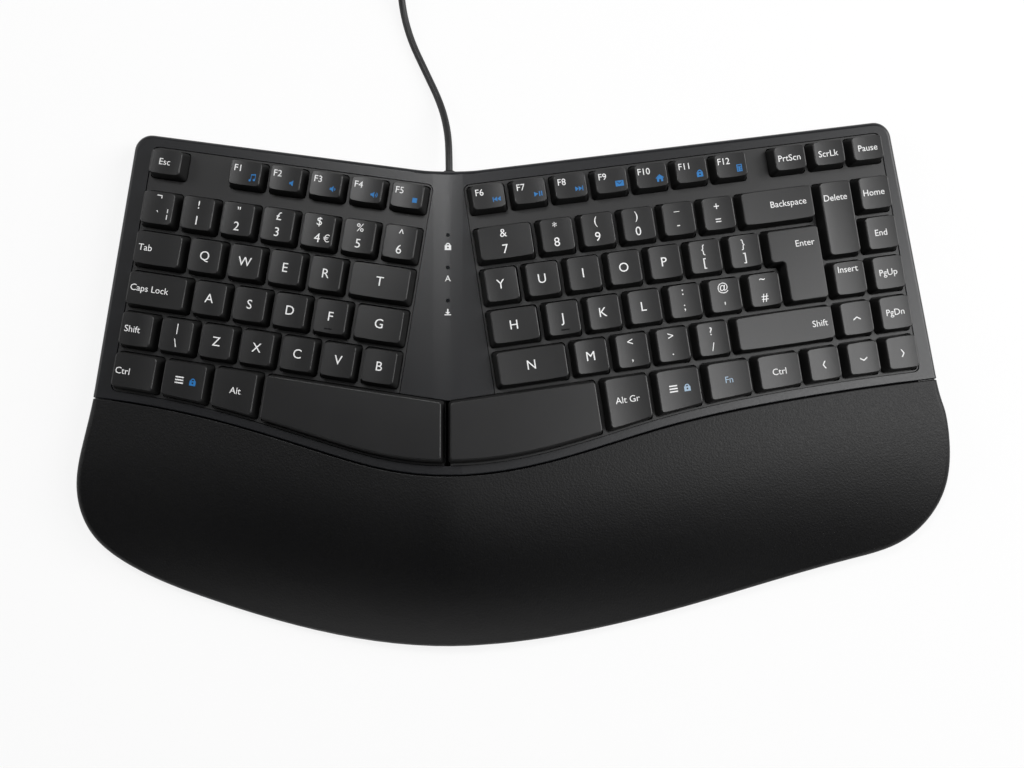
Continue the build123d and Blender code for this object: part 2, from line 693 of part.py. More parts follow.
def under_palm(drop):
    grid = [[(x, y, palm_height(x, y) - drop) for y in PALM_Y] for x in PALM_X]
    return extrude(Face.make_surface_from_array_of_points(grid), amount=HIGH, dir=(0, 0, -1))


def palm_post_top(place):
    # Half a wall under the lowest surface over the post, which is at its outer side
    turns = [math.radians(30 * i) for i in range(12)]
    around = [(place[0] + PALM_POST * math.cos(t), place[1] + PALM_POST * math.sin(t)) for t in turns]
    return min(palm_height(x, y) for x, y in around) - WALL / 2


def make_palm_rest():
    plan = OUTLINE - behind_seam(-SEAM_GAP)
    body = prism(plan, PARTING, HIGH) & under_palm(0.0)
    front = body.edges().filter_by(
        lambda e: e.length > 30 and e.center().Z > PARTING + 2 and e.center().Y < SEAM_Y - 20)
    body = fillet(front, PALM_ROUND)
    room_plan = case_outline(WALL) - behind_seam(-SEAM_GAP - WALL)
    room = prism(room_plan, 0, HIGH) & under_palm(WALL)
    body -= room
    seam = body.edges().filter_by(lambda e: e.length > 300 and is_seam(e)).sort_by(Axis.Z)[-1]
    body = fillet(seam, SEAM_ROUND)
    for place in PALM_POSTS:
        body += screw_post(place, PALM_POST, palm_post_top(place))
        body -= screw_bore(place)
    nodes["palm_rest"] = [body]


def foot_well(x):
    # A pocket in the floor for one folded foot, with its hinge pins' ears at the rear
    y = foot_hinge_y(x)
    width = FOOT_WIDTH + 2 * FOOT_GAP
    rear = y + FOOT_THICKNESS / 2 + FOOT_REAR_GAP
    front = y - FOOT_LENGTH - FOOT_GAP
    length = rear - front
    centre = (x, (rear + front) / 2)
    outer = Pos(*centre, FLOOR_UNDERSIDE) * Box(width + 2 * WELL_WALL, length + 2 * WELL_WALL,
                                               WELL_ROOF + WELL_WALL - FLOOR_UNDERSIDE,
                                               align=(Align.CENTER, Align.CENTER, Align.MIN))
    inner = Pos(*centre, 0) * Box(width, length, WELL_ROOF, align=(Align.CENTER, Align.CENTER, Align.MIN))
    pins = Pos(x, y, HINGE_HEIGHT) * Rot(0, 90, 0) * Cylinder(HINGE_RADIUS + HINGE_CLEARANCE, width + 2 * WELL_WALL - 1)
    return outer, inner, pins


def foot_hinge_y(x):
    slope = (REAR_LEFT[1] - REAR_APEX_Y) / REAR_LEFT[0] if x < 0 else (REAR_RIGHT[1] - REAR_APEX_Y) / REAR_RIGHT[0]
    return REAR_APEX_Y + slope * x - FOOT_HINGE_INSET


def make_bottom_cover():
    floor = prism(case_outline(FLOOR_INSET), FLOOR_UNDERSIDE, PARTING)
    lip_outer = case_outline(WALL + LIP_CLEARANCE)
    lip_inner = case_outline(WALL + LIP_CLEARANCE + LIP_WALL)
    reach = WALL + LIP_CLEARANCE
    seam_walls = behind_seam(-SEAM_GAP - reach) - behind_seam(reach)
    floor += prism(lip_outer - lip_inner - seam_walls, PARTING, PARTING + LIP_HEIGHT)
    for place in SCREW_PLACES:
        floor += upright(place, PAD_RADIUS, PARTING, PAD_TOP) & prism(lip_outer - seam_walls, 0, HIGH)
    below_plates = under_deck(PLATE_UNDERSIDE, rounded=False)
    for place in SUPPORT_PLACES:
        floor += upright(place, SUPPORT_RADIUS, PARTING, RIDGE_HEIGHT) & below_plates
    for x in (FOOT_LEFT_X, FOOT_RIGHT_X):
        outer, inner, pins = foot_well(x)
        floor = floor + outer - inner - pins
    for place in board_posts():
        floor += upright(place, BOARD_POST, PARTING, BOARD_HEIGHT)
    for place in SCREW_PLACES:
        floor -= upright(place, SCREW_HEAD + 0.3, 0, FLOOR_UNDERSIDE + SCREW_HEAD_HEIGHT)
        floor -= upright(place, SCREW_SHAFT + SCREW_CLEARANCE, 0, PAD_TOP + 1)
    nodes["bottom_cover"] = [floor]


def make_screws():
    for x, y in SCREW_PLACES:
        head = Cylinder(SCREW_HEAD, SCREW_HEAD_HEIGHT, align=(Align.CENTER, Align.CENTER, Align.MIN))
        socket = Pos(0, 0, -0.01) * Box(2.2, 0.6, 0.7, align=(Align.CENTER, Align.CENTER, Align.MIN))
        cross = Rot(0, 0, 90) * socket
        shaft = Pos(0, 0, SCREW_HEAD_HEIGHT) * Cylinder(SCREW_SHAFT, SCREW_LENGTH,
                                                       align=(Align.CENTER, Align.CENTER, Align.MIN))
        nodes.setdefault("case_screws", []).append(Pos(x, y, FLOOR_UNDERSIDE) * (head + shaft - socket - cross))


def make_rubber_pads():
    for x, y, turn in RUBBER_PLACES:
        face = RectangleRounded(*RUBBER_PAD, RUBBER_PAD[1] / 2 - 0.5)
        pad = extrude(Pos(x, y, 0) * Rot(0, 0, turn) * face, FLOOR_UNDERSIDE)
        rim = pad.edges().group_by(Axis.Z)[0]
        nodes.setdefault("rubber_feet", []).append(fillet(rim, 0.4))


def make_flip_feet():
    for x, word in ((FOOT_LEFT_X, "left"), (FOOT_RIGHT_X, "right")):
        y = foot_hinge_y(x)
        leg_length = FOOT_LENGTH - TIP_LENGTH
        low = HINGE_HEIGHT - FOOT_THICKNESS / 2
        leg = Pos(x, y - leg_length / 2, low) * Box(FOOT_WIDTH, leg_length, FOOT_THICKNESS,
                                                  align=(Align.CENTER, Align.CENTER, Align.MIN))
        knuckle = Pos(x, y, HINGE_HEIGHT) * Rot(0, 90, 0) * Cylinder(FOOT_THICKNESS / 2, FOOT_WIDTH)
        pin = Pos(x, y, HINGE_HEIGHT) * Rot(0, 90, 0) * Cylinder(HINGE_RADIUS, FOOT_WIDTH + 2 * WELL_WALL - 0.6)
        tip = Pos(x, y - leg_length, low) * Box(FOOT_WIDTH, TIP_LENGTH, FOOT_THICKNESS,
                                               align=(Align.CENTER, Align.MAX, Align.MIN))
        far = tip.edges().filter_by(Axis.X).group_by(Axis.Y)[0]
        nodes["flip_foot_" + word] = [leg + knuckle + pin, fillet(far, 1.2)]


# Board and lights

def board_posts():
    half_x = BOARD[0] / 2 - 3
    half_y = BOARD[1] / 2 - 4
    return [(BOARD_PLACE[0] + sx * half_x, BOARD_PLACE[1] + sy * half_y) for sx in (-1, 1) for sy in (-1, 1)]


def make_board():
    base = Pos(*BOARD_PLACE, BOARD_HEIGHT) * Box(*BOARD, align=(Align.CENTER, Align.CENTER, Align.MIN))
    top = BOARD_HEIGHT + BOARD[2]
    chip = Pos(-6, BOARD_PLACE[1] - 20, top) * Box(9, 9, 1.2, align=(Align.CENTER, Align.CENTER, Align.MIN))
    socket = Pos(6, BOARD_PLACE[1] + 24, top) * Box(10, 6, 3.0, align=(Align.CENTER, Align.CENTER, Align.MIN))
    nodes["controller_board"] = [base, chip, socket]
    for y in LIGHT_PLACES:
        lamp = Pos(0, y, top) * Box(3.0, 2.4, LAMP_HEIGHT, align=(Align.CENTER, Align.CENTER, Align.MIN))
        nodes["controller_board"].append(lamp)
        pipe_top = deck_height(0, y) - 0.35
        pipe_low = top + LAMP_HEIGHT
        pipe = Pos(0, y, pipe_low) * Cylinder(LIGHT_RADIUS, pipe_top - pipe_low,
                                              align=(Align.CENTER, Align.CENTER, Align.MIN))
        nodes.setdefault("light_pipes", []).append(pipe)


# Cable

def rear_face_y():
    return REAR_APEX_Y + REAR_APEX_ROUND * (1 / math.cos(math.atan(0.15)) - 1)


def make_grommet():
    face = rear_face_y()
    inside = face - WALL
    length = face + GROMMET_OUT - inside + GROMMET_FLANGE_WIDTH
    sleeve = Pos(0, face + GROMMET_OUT - length / 2, CABLE_HEIGHT) * Rot(90, 0, 0) * Cylinder(
        GROMMET_RADIUS - 0.05, length)
    tip = sleeve.edges().filter_by(GeomType.CIRCLE).sort_by(Axis.Y)[-1]
    sleeve = fillet(tip, 1.2)
    middle = inside - 0.3 - GROMMET_FLANGE_WIDTH / 2
    flange = Pos(0, middle, CABLE_HEIGHT) * Rot(90, 0, 0) * Cylinder(GROMMET_FLANGE, GROMMET_FLANGE_WIDTH - 0.6)
    bore = Pos(0, inside, CABLE_HEIGHT) * Rot(90, 0, 0) * Cylinder(CABLE_RADIUS + 0.1, 40)
    nodes["cable_grommet"] = [sleeve + flange - bore]


def tube_radii(points):
    # Each arc is as large as its two runs allow
    radii = []
    for before, here, after in zip(points, points[1:], points[2:]):
        a = Vector(*here) - Vector(*before)
        b = Vector(*after) - Vector(*here)
        turn = math.radians(a.get_angle(b))
        radii.append(0.45 * min(a.length, b.length) / math.tan(turn / 2))
    return radii


def lead_route():
    start = (0, rear_face_y() - WALL - CABLE_INSIDE, CABLE_HEIGHT)
    exit_point = (0, rear_face_y() + GROMMET_OUT + 4, CABLE_HEIGHT)
    top = coil_points()[0][0]
    return [start, exit_point] + LEAD_POINTS + [(top.X, top.Y, top.Z)]


def make_lead():
    route = lead_route()
    radii = tube_radii(route)
    print("lead radii", [round(r, 1) for r in radii])
    path = FilletPolyline(*route, radius=radii)
    ring = Plane(origin=path @ 0, z_dir=path % 0) * Circle(CABLE_RADIUS)
    tube = sweep(ring, path=path)
    print("lead length", round(path.length, 1), "volume ratio",
          round(tube.volume / (math.pi * CABLE_RADIUS ** 2 * path.length), 4))
    nodes["cable_lead"] = [tube]


def ease(t):
    return t * t * (3 - 2 * t)


def coil_state(quarter):
    # Radius and height after a number of quarter turns: in and out again, a layer lower each time
    inner = COIL_MEAN_RADIUS - COIL_STEP * COIL_LAYER_QUARTERS[0] / 8
    outer = inner + COIL_STEP * COIL_LAYER_QUARTERS[0] / 4
    radius = outer
    level = CABLE_RADIUS + 3 * COIL_STEP
    inward = True
    rest = quarter
    for index, count in enumerate(COIL_LAYER_QUARTERS):
        used = min(max(rest, 0), count)
        radius += (-1 if inward else 1) * COIL_STEP * used / 4
        rest -= count
        if index + 1 < len(COIL_LAYER_QUARTERS):
            climb = min(max(rest, 0), COIL_CLIMB_QUARTERS)
            level -= COIL_STEP * ease(climb / COIL_CLIMB_QUARTERS)
            rest -= COIL_CLIMB_QUARTERS
        inward = not inward
        if rest <= 0:
            break
    return radius, level


def coil_point(quarter):
    last = sum(COIL_LAYER_QUARTERS) + 3 * COIL_CLIMB_QUARTERS
    radius, level = coil_state(min(max(quarter, 0), last))
    outer = coil_state(0)[0]
    centre = (LEAD_POINTS[-1][0] - outer, COIL_START_Y)
    angle = quarter * math.pi / 2
    return Vector(centre[0] + radius * math.cos(angle), centre[1] + radius * math.sin(angle), level)


def coil_points():
    # Points at each quarter turn with their directions, and a straight start and tail
    last = sum(COIL_LAYER_QUARTERS) + 3 * COIL_CLIMB_QUARTERS
    step = 0.05
    stations = []
    for quarter in range(last + 1):
        low = max(quarter - step, 0)
        high = min(quarter + step, last)
        direction = (coil_point(high) - coil_point(low)).normalized()
        if quarter == 0:
            direction = Vector(0, 1, 0)
        if quarter == last:
            direction = Vector(-1, 0, 0)
        stations.append((coil_point(quarter), direction))
    start = stations[0][0] - Vector(0, 2 * CABLE_RADIUS, 0)
    return [(start, Vector(0, 1, 0))] + stations


def biarc(p0, t0, p1, t1):
    # Two arcs that leave one point and reach the next in the given directions
    v = p1 - p0
    t = t0 + t1
    a = 2 * (1 - t0.dot(t1))
    b = 2 * v.dot(t)
    c = -v.dot(v)
    if abs(a) < 1e-9:
        reach = -c / b
    else:
        reach = (-b + math.sqrt(b * b - 4 * a * c)) / (2 * a)
    joint = (p0 + t0 * reach + p1 - t1 * reach) * 0.5
    first = TangentArc(p0, joint, tangent=t0)
    second = TangentArc(joint, p1, tangent=first % 1)
    return [first, second]


def coil_edges():
    stations = coil_points()
    edges = [Line(stations[0][0], stations[1][0])]
    for (p0, t0), (p1, t1) in zip(stations[1:], stations[2:]):
        edges += biarc(p0, t0, p1, t1)
    end, heading = stations[-1]
    lift = PLUG_GRIP[2] / 2 - CABLE_RADIUS
    tail = end + heading * TAIL_RUN + Vector(0, 0, lift)
    edges += biarc(end, heading, tail, heading)
    edges.append(Line(tail, tail + heading * 2 * CABLE_RADIUS))
    return edges


def least_gap(path, diameter):
    # Distance between stretches of the coil that are more than half a turn apart along it
    count = 1200
    places = [path @ (i / count) for i in range(count + 1)]
    spacing = path.length / count
    skip = int(math.pi * COIL_MEAN_RADIUS / spacing)
    least = min((places[i] - places[j]).length for i in range(0, count, 2) for j in range(i + skip, count, 2))
    return least - diameter


def make_coil():
    path = Wire(coil_edges())
    ring = Plane(origin=path @ 0, z_dir=path % 0) * Circle(CABLE_RADIUS)
    tube = sweep(ring, path=path)
    print("coil length", round(path.length, 1), "least gap", round(least_gap(path, 2 * CABLE_RADIUS), 2),
          "volume ratio", round(tube.volume / (math.pi * CABLE_RADIUS ** 2 * path.length), 4))
    nodes["cable_coil"] = [tube]
    return path @ 1


def make_plug(entry):
    length, width, height = PLUG_GRIP
    shell_length, shell_width, shell_height = PLUG_SHELL
    centre_y = entry.Y
    middle = height / 2
    grip = Pos(entry.X - length / 2, centre_y, middle) * Box(length, width, height)
    grip = fillet(grip.edges().filter_by(Axis.X), 2.2)
    grip = fillet(grip.faces().sort_by(Axis.X)[-1].edges(), 1.5)
    tip_x = entry.X - length
    pocket = Pos(tip_x + 3.5, centre_y, middle) * Box(7.0, shell_width, shell_height)
    outside = Pos(tip_x + 6.5 - shell_length / 2, centre_y, middle) * Box(shell_length, shell_width, shell_height)
    inside = Pos(tip_x + 5.5 - shell_length / 2, centre_y, middle) * Box(
        shell_length, shell_width - 2 * PLUG_SHELL_WALL, shell_height - 2 * PLUG_SHELL_WALL)
    shell = outside - inside
    for offset_y in (-2.6, 2.6):
        shell -= Pos(tip_x - 6.5, centre_y + offset_y, middle) * Box(2.2, 2.4, 2 * shell_height)
    tongue_low = middle - shell_height / 2 + PLUG_SHELL_WALL
    tongue = Pos(tip_x + 5.5, centre_y, tongue_low) * Box(
        shell_length - 1.6, shell_width - 2 * PLUG_SHELL_WALL - 0.2, PLUG_TONGUE, align=(Align.MAX, Align.CENTER, Align.MIN))
    nodes["plug_grip"] = [grip - pocket]
    nodes["plug_shell"] = [shell]
    nodes["plug_tongue"] = [tongue]


CORD_NODES = ["cable_lead", "cable_coil", "plug_grip", "plug_shell", "plug_tongue"]


def export_all():
    boxes = [part.bounding_box() for name, parts in nodes.items() if name not in CORD_NODES for part in parts]
    low = [min(box.min.X for box in boxes), min(box.min.Y for box in boxes)]
    high = [max(box.max.X for box in boxes), max(box.max.Y for box in boxes)]
    shift = (-(low[0] + high[0]) / 2, -(low[1] + high[1]) / 2)
    print("ridge at", round(shift[0], 4), round(shift[1], 4))
    print("size", round(high[0] - low[0], 2), round(high[1] - low[1], 2), round(max(b.max.Z for b in boxes), 2))
    os.makedirs("parts", exist_ok=True)
    for name, parts in nodes.items():
        solids = [solid for part in parts for solid in part.solids()]
        shape = solids[0] if len(solids) == 1 else Compound(children=solids)
        export_step(Pos(*shift, 0) * shape, "parts/" + name + ".step")
    print(len(nodes), "nodes")


make_keys()
make_switch_layers()
make_top_cover()
make_palm_rest()
make_bottom_cover()
make_screws()
make_rubber_pads()
make_flip_feet()
make_board()
make_grommet()
make_lead()
plug_entry = make_coil()
make_plug(plug_entry)
export_all()
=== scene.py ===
import math

import bpy
from mathutils import Matrix, Vector
from mathutils.bvhtree import BVHTree


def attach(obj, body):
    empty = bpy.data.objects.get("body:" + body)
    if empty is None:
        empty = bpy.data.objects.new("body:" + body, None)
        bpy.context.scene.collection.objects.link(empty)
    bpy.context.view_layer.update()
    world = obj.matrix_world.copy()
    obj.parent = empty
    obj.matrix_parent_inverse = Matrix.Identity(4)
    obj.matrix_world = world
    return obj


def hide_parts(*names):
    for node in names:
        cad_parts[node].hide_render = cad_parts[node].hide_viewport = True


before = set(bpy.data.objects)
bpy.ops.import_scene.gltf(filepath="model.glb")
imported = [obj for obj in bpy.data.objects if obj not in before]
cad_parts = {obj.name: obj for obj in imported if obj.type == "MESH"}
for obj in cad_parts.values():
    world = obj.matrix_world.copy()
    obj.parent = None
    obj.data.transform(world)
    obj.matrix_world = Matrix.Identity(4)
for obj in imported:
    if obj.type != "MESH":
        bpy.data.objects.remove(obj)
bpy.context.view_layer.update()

# Split keyboard with a raised middle ridge. Plan sizes are millimetres from the ridge, as in the
# part, and place() turns them into the frame's metres.
MM = 0.001
RIDGE = (-31.8508, -21.4504)
LEFT = -1
RIGHT = 1


def place(x, y, z):
    return Vector((x + RIDGE[0], y + RIDGE[1], z)) * MM


# Camera, where the photograph was taken from: its sensor and lens in millimetres, its place in
# metres, and the degrees by which it leans away from looking straight down

SENSOR_WIDTH = 36
LENS = 44.25
CAMERA_PLACE = (-0.01363, -0.02888, 0.602)
CAMERA_TILT = 2.709
CAMERA_LEAN = -1.093
NEAREST_SEEN = 0.02


def make_camera():
    data = bpy.data.cameras.new("camera")
    data.sensor_width = SENSOR_WIDTH
    data.lens = LENS
    data.clip_start = NEAREST_SEEN
    camera = bpy.data.objects.new("camera", data)
    bpy.context.scene.collection.objects.link(camera)
    tilt = Matrix.Rotation(math.radians(CAMERA_TILT), 4, "X")
    lean = Matrix.Rotation(math.radians(CAMERA_LEAN), 4, "Y")
    camera.matrix_world = Matrix.Translation(CAMERA_PLACE) @ tilt @ lean
    bpy.context.scene.camera = camera


make_camera()

# Cable: out of the rear edge, down to the table, and wound up beyond the view

CABLE_RADIUS = 1.7
LEAD_POINTS = [(0, 105.7, 14.0), (0, 124.8, 14.0), (-0.8, 141.0, 8.6), (-4.5, 156.0, 3.0),
               (-12.0, 172.0, 1.8), (-19.5, 188.0, 1.8), (-23.5, 204.0, 2.8),
               (-23.8, 219.0, 8.4), (-22.0, 233.0, 14.9), (-22.0, 248.6, 14.9)]
COIL_CENTRE = (-46.2, 252.0)
COIL_STEP = 4.4
COIL_MEAN_RADIUS = 18.7
COIL_LAYER_QUARTERS = [10, 10, 10, 9]
COIL_CLIMB_QUARTERS = 2
COIL_POINTS_A_QUARTER = 6
TAIL_RUN = 24.0
# Points of the run from the coil to the plug, as shares of it; the last is inside the grip
TAIL_SHARES = (0.25, 0.5, 0.75, 1.0, 1.14)
PLUG_HEIGHT = 3.8


def ease(t):
    return t * t * (3 - 2 * t)


def coil_state(quarter):
    # Radius and height after a number of quarter turns: in and out again, a layer lower each time
    radius = COIL_MEAN_RADIUS + COIL_STEP * COIL_LAYER_QUARTERS[0] / 8
    level = CABLE_RADIUS + 3 * COIL_STEP
    inward = True
    rest = quarter
    for index, count in enumerate(COIL_LAYER_QUARTERS):
        used = min(max(rest, 0), count)
        radius += (-1 if inward else 1) * COIL_STEP * used / 4
        rest -= count
        if index + 1 < len(COIL_LAYER_QUARTERS):
            climb = min(max(rest, 0), COIL_CLIMB_QUARTERS)
            level -= COIL_STEP * ease(climb / COIL_CLIMB_QUARTERS)
            rest -= COIL_CLIMB_QUARTERS
        inward = not inward
        if rest <= 0:
            break
    return radius, level


def coil_route():
    last = sum(COIL_LAYER_QUARTERS) + 3 * COIL_CLIMB_QUARTERS
    route = []
    for step in range(last * COIL_POINTS_A_QUARTER + 1):
        quarter = step / COIL_POINTS_A_QUARTER
        radius, level = coil_state(quarter)
        angle = quarter * math.pi / 2
        x = COIL_CENTRE[0] + radius * math.cos(angle)
        y = COIL_CENTRE[1] + radius * math.sin(angle)
        route.append((x, y, level))
    for share in TAIL_SHARES:
        lift = (PLUG_HEIGHT - CABLE_RADIUS) * ease(min(share, 1.0))
        route.append((x - TAIL_RUN * share, y, level + lift))
    return route


def make_cable():
    curve = bpy.data.curves.new("cable", "CURVE")
    curve.dimensions = "3D"
    # The points' radii give the cable its thickness
    curve.bevel_depth = 1.0
    curve.bevel_resolution = 4
    curve.resolution_u = 6
    curve.use_fill_caps = True
    route = LEAD_POINTS + coil_route()
    spline = curve.splines.new("NURBS")
    spline.points.add(len(route) - 1)
    for point, at in zip(spline.points, route):
        point.co = (*place(*at), 1)
        point.radius = CABLE_RADIUS * MM
    spline.order_u = 3
    spline.use_endpoint_u = True
    cable = bpy.data.objects.new("cable", curve)
    bpy.context.scene.collection.objects.link(cable)
    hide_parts("cable_lead", "cable_coil")
    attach(cable, "case")
    return cable


cable = make_cable()


# Materials

def linear(code):
    # sRGB hex value to linear colour
    shares = [int(code[i:i + 2], 16) / 255 for i in (1, 3, 5)]
    return [s / 12.92 if s <= 0.04045 else ((s + 0.055) / 1.055) ** 2.4 for s in shares] + [1.0]


def feed(tree, node, inputs):
    # Each input is a value or the socket that feeds it
    for name, value in inputs.items():
        if isinstance(value, bpy.types.NodeSocket):
            tree.links.new(value, node.inputs[name])
        else:
            node.inputs[name].default_value = value


def add(tree, kind, inputs, **settings):
    # Adds a node with its settings and links
    node = tree.nodes.new(kind)
    for name, value in settings.items():
        setattr(node, name, value)
    feed(tree, node, inputs)
    return node


def new_material(name):
    # The node tree, its shader and the object's own coordinates in metres
    material = bpy.data.materials.new(name)
    material.use_nodes = True
    tree = material.node_tree
    coordinates = add(tree, "ShaderNodeTexCoord", {}).outputs["Object"]
    return material, tree, tree.nodes["Principled BSDF"], coordinates


def every(size):
    # Scale of a pattern whose blotches, cells or lines are that many millimetres wide. A grain
    # finer than about half a millimetre wouldn't show, so the finest ones are drawn coarser
    return 1000 / size


# A wave texture repeats when its scaled coordinate has gone this far
WAVE_TURN = 2 * math.pi / 20
# Sockets of a colour Mix node
SHARE = 0
DARK = 6
LIGHT = 7
MIXED = 2


def satin_case_plastic():
    # ABS moulded against a fine spark-eroded steel: a satin sheen over a faintly blue black
    material, tree, shader, at = new_material("satin moulded ABS, case")
    grain = add(tree, "ShaderNodeTexNoise", {"Vector": at, "Scale": every(0.9)}).outputs["Fac"]
    cloud = add(tree, "ShaderNodeTexNoise", {"Vector": at, "Scale": every(50.0)}).outputs["Fac"]
    colour = add(tree, "ShaderNodeMix",
                 {SHARE: cloud, DARK: linear("#08090b"), LIGHT: linear("#121318")},
                 data_type="RGBA").outputs[MIXED]
    rough = add(tree, "ShaderNodeMapRange",
                {"Value": grain, "To Min": 0.3, "To Max": 0.42}).outputs["Result"]
    bump = add(tree, "ShaderNodeBump", {"Height": grain, "Distance": 0.012 * MM}).outputs["Normal"]
    feed(tree, shader, {"Base Color": colour, "Roughness": rough, "Normal": bump,
                        "Specular IOR Level": 0.45})
    return material


def satin_frame_plastic():
    # The same moulding between the keys, a little greyer than the case
    material, tree, shader, at = new_material("satin moulded ABS, key frame")
    grain = add(tree, "ShaderNodeTexNoise", {"Vector": at, "Scale": every(0.9)}).outputs["Fac"]
    cloud = add(tree, "ShaderNodeTexNoise", {"Vector": at, "Scale": every(40.0)}).outputs["Fac"]
    colour = add(tree, "ShaderNodeMix",
                 {SHARE: cloud, DARK: linear("#0e0e0f"), LIGHT: linear("#19191a")},
                 data_type="RGBA").outputs[MIXED]
    rough = add(tree, "ShaderNodeMapRange",
                {"Value": grain, "To Min": 0.36, "To Max": 0.5}).outputs["Result"]
    bump = add(tree, "ShaderNodeBump", {"Height": grain, "Distance": 0.012 * MM}).outputs["Normal"]
    feed(tree, shader, {"Base Color": colour, "Roughness": rough, "Normal": bump,
                        "Specular IOR Level": 0.45})
    return material


def key_cap_plastic():
    # ABS key caps: tops blasted satin, a little lighter where worn; side walls rougher and painted
    # near black, a painted shade where the keys shadow each other
    material, tree, shader, at = new_material("satin moulded ABS, key cap")
    grain = add(tree, "ShaderNodeTexNoise", {"Vector": at, "Scale": every(0.7)}).outputs["Fac"]
    wear = add(tree, "ShaderNodeTexNoise", {"Vector": at, "Scale": every(14.0)}).outputs["Fac"]
    top = add(tree, "ShaderNodeMix",
              {SHARE: wear, DARK: linear("#0c0c0d"), LIGHT: linear("#161617")},
              data_type="RGBA").outputs[MIXED]
    # Share of top against side, by the way each face points: it sets the painted shade on the sides
    # and their roughness
    facing = add(tree, "ShaderNodeNewGeometry", {}).outputs["Normal"]
    level = add(tree, "ShaderNodeSeparateXYZ", {"Vector": facing}).outputs["Z"]
    top_vs_shaded_side = add(tree, "ShaderNodeMapRange",
                 {"Value": level, "From Min": 0.5, "From Max": 0.85}).outputs["Result"]
    # Painted shade: the side walls get a near-black colour in place of the cap's own
    colour = add(tree, "ShaderNodeMix", {SHARE: top_vs_shaded_side, DARK: linear("#040404"), LIGHT: top},
                 data_type="RGBA").outputs[MIXED]
    satin = add(tree, "ShaderNodeMapRange",
                {"Value": grain, "To Min": 0.3, "To Max": 0.4}).outputs["Result"]
    rough = add(tree, "ShaderNodeMapRange",
                {"Value": top_vs_shaded_side, "To Min": 0.8, "To Max": satin}).outputs["Result"]
    bump = add(tree, "ShaderNodeBump", {"Height": grain, "Distance": 0.008 * MM}).outputs["Normal"]
    feed(tree, shader, {"Base Color": colour, "Roughness": rough, "Normal": bump,
                        "Specular IOR Level": 0.45})
    return material


def grained_palm_plastic():
    # ABS with a fine leather-like mould grain: matt, with a broad soft sheen that sparkles a little
    material, tree, shader, at = new_material("grained moulded ABS, palm rest")
    pebble = add(tree, "ShaderNodeTexVoronoi",
                 {"Vector": at, "Scale": every(0.9)}).outputs["Distance"]
    grain = add(tree, "ShaderNodeTexNoise", {"Vector": at, "Scale": every(1.0)}).outputs["Fac"]
    height = add(tree, "ShaderNodeMath", {0: pebble, 1: grain}, operation="ADD").outputs["Value"]
    cloud = add(tree, "ShaderNodeTexNoise", {"Vector": at, "Scale": every(80.0)}).outputs["Fac"]
    colour = add(tree, "ShaderNodeMix",
                 {SHARE: cloud, DARK: linear("#050506"), LIGHT: linear("#0d0d0e")},
                 data_type="RGBA").outputs[MIXED]
    rough = add(tree, "ShaderNodeMapRange",
                {"Value": grain, "To Min": 0.36, "To Max": 0.52}).outputs["Result"]
    bump = add(tree, "ShaderNodeBump", {"Height": height, "Distance": 0.04 * MM}).outputs["Normal"]
    feed(tree, shader, {"Base Color": colour, "Roughness": rough, "Normal": bump,
                        "Specular IOR Level": 0.26})
    return material


def floor_plastic():
    # Coarsely textured moulding of the underside
    material, tree, shader, at = new_material("textured moulded ABS, underside")
    grain = add(tree, "ShaderNodeTexNoise", {"Vector": at, "Scale": every(1.6)}).outputs["Fac"]
    colour = add(tree, "ShaderNodeMix",
                 {SHARE: grain, DARK: linear("#111113"), LIGHT: linear("#1b1b1d")},
                 data_type="RGBA").outputs[MIXED]
    rough = add(tree, "ShaderNodeMapRange",
                {"Value": grain, "To Min": 0.5, "To Max": 0.7}).outputs["Result"]
    bump = add(tree, "ShaderNodeBump", {"Height": grain, "Distance": 0.06 * MM}).outputs["Normal"]
    feed(tree, shader, {"Base Color": colour, "Roughness": rough, "Normal": bump,
                        "Specular IOR Level": 0.4})
    return material


def soft_rubber():
    # Moulded elastomer of feet and grommet: matt, with a dusty bloom
    material, tree, shader, at = new_material("moulded rubber")
    bloom = add(tree, "ShaderNodeTexNoise",
                {"Vector": at, "Scale": every(3.0), "Detail": 4.0}).outputs["Fac"]
    colour = add(tree, "ShaderNodeMix",
                 {SHARE: bloom, DARK: linear("#0e0e0e"), LIGHT: linear("#1e1e1e")},
                 data_type="RGBA").outputs[MIXED]
    rough = add(tree, "ShaderNodeMapRange",
                {"Value": bloom, "To Min": 0.6, "To Max": 0.85}).outputs["Result"]
    bump = add(tree, "ShaderNodeBump", {"Height": bloom, "Distance": 0.02 * MM}).outputs["Normal"]
    feed(tree, shader, {"Base Color": colour, "Roughness": rough, "Normal": bump,
                        "Specular IOR Level": 0.3})
    return material


def cable_jacket():
    # Extruded PVC, smooth, with a soft shine
    material, tree, shader, at = new_material("extruded PVC cable jacket")
    skin = add(tree, "ShaderNodeTexNoise",
               {"Vector": at, "Scale": every(1.6), "Detail": 3.0}).outputs["Fac"]
    colour = add(tree, "ShaderNodeMix",
                 {SHARE: skin, DARK: linear("#0f0f10"), LIGHT: linear("#1b1b1c")},
                 data_type="RGBA").outputs[MIXED]
    rough = add(tree, "ShaderNodeMapRange",
                {"Value": skin, "To Min": 0.4, "To Max": 0.55}).outputs["Result"]
    bump = add(tree, "ShaderNodeBump", {"Height": skin, "Distance": 0.01 * MM}).outputs["Normal"]
    feed(tree, shader, {"Base Color": colour, "Roughness": rough, "Normal": bump,
                        "Specular IOR Level": 0.45})
    return material


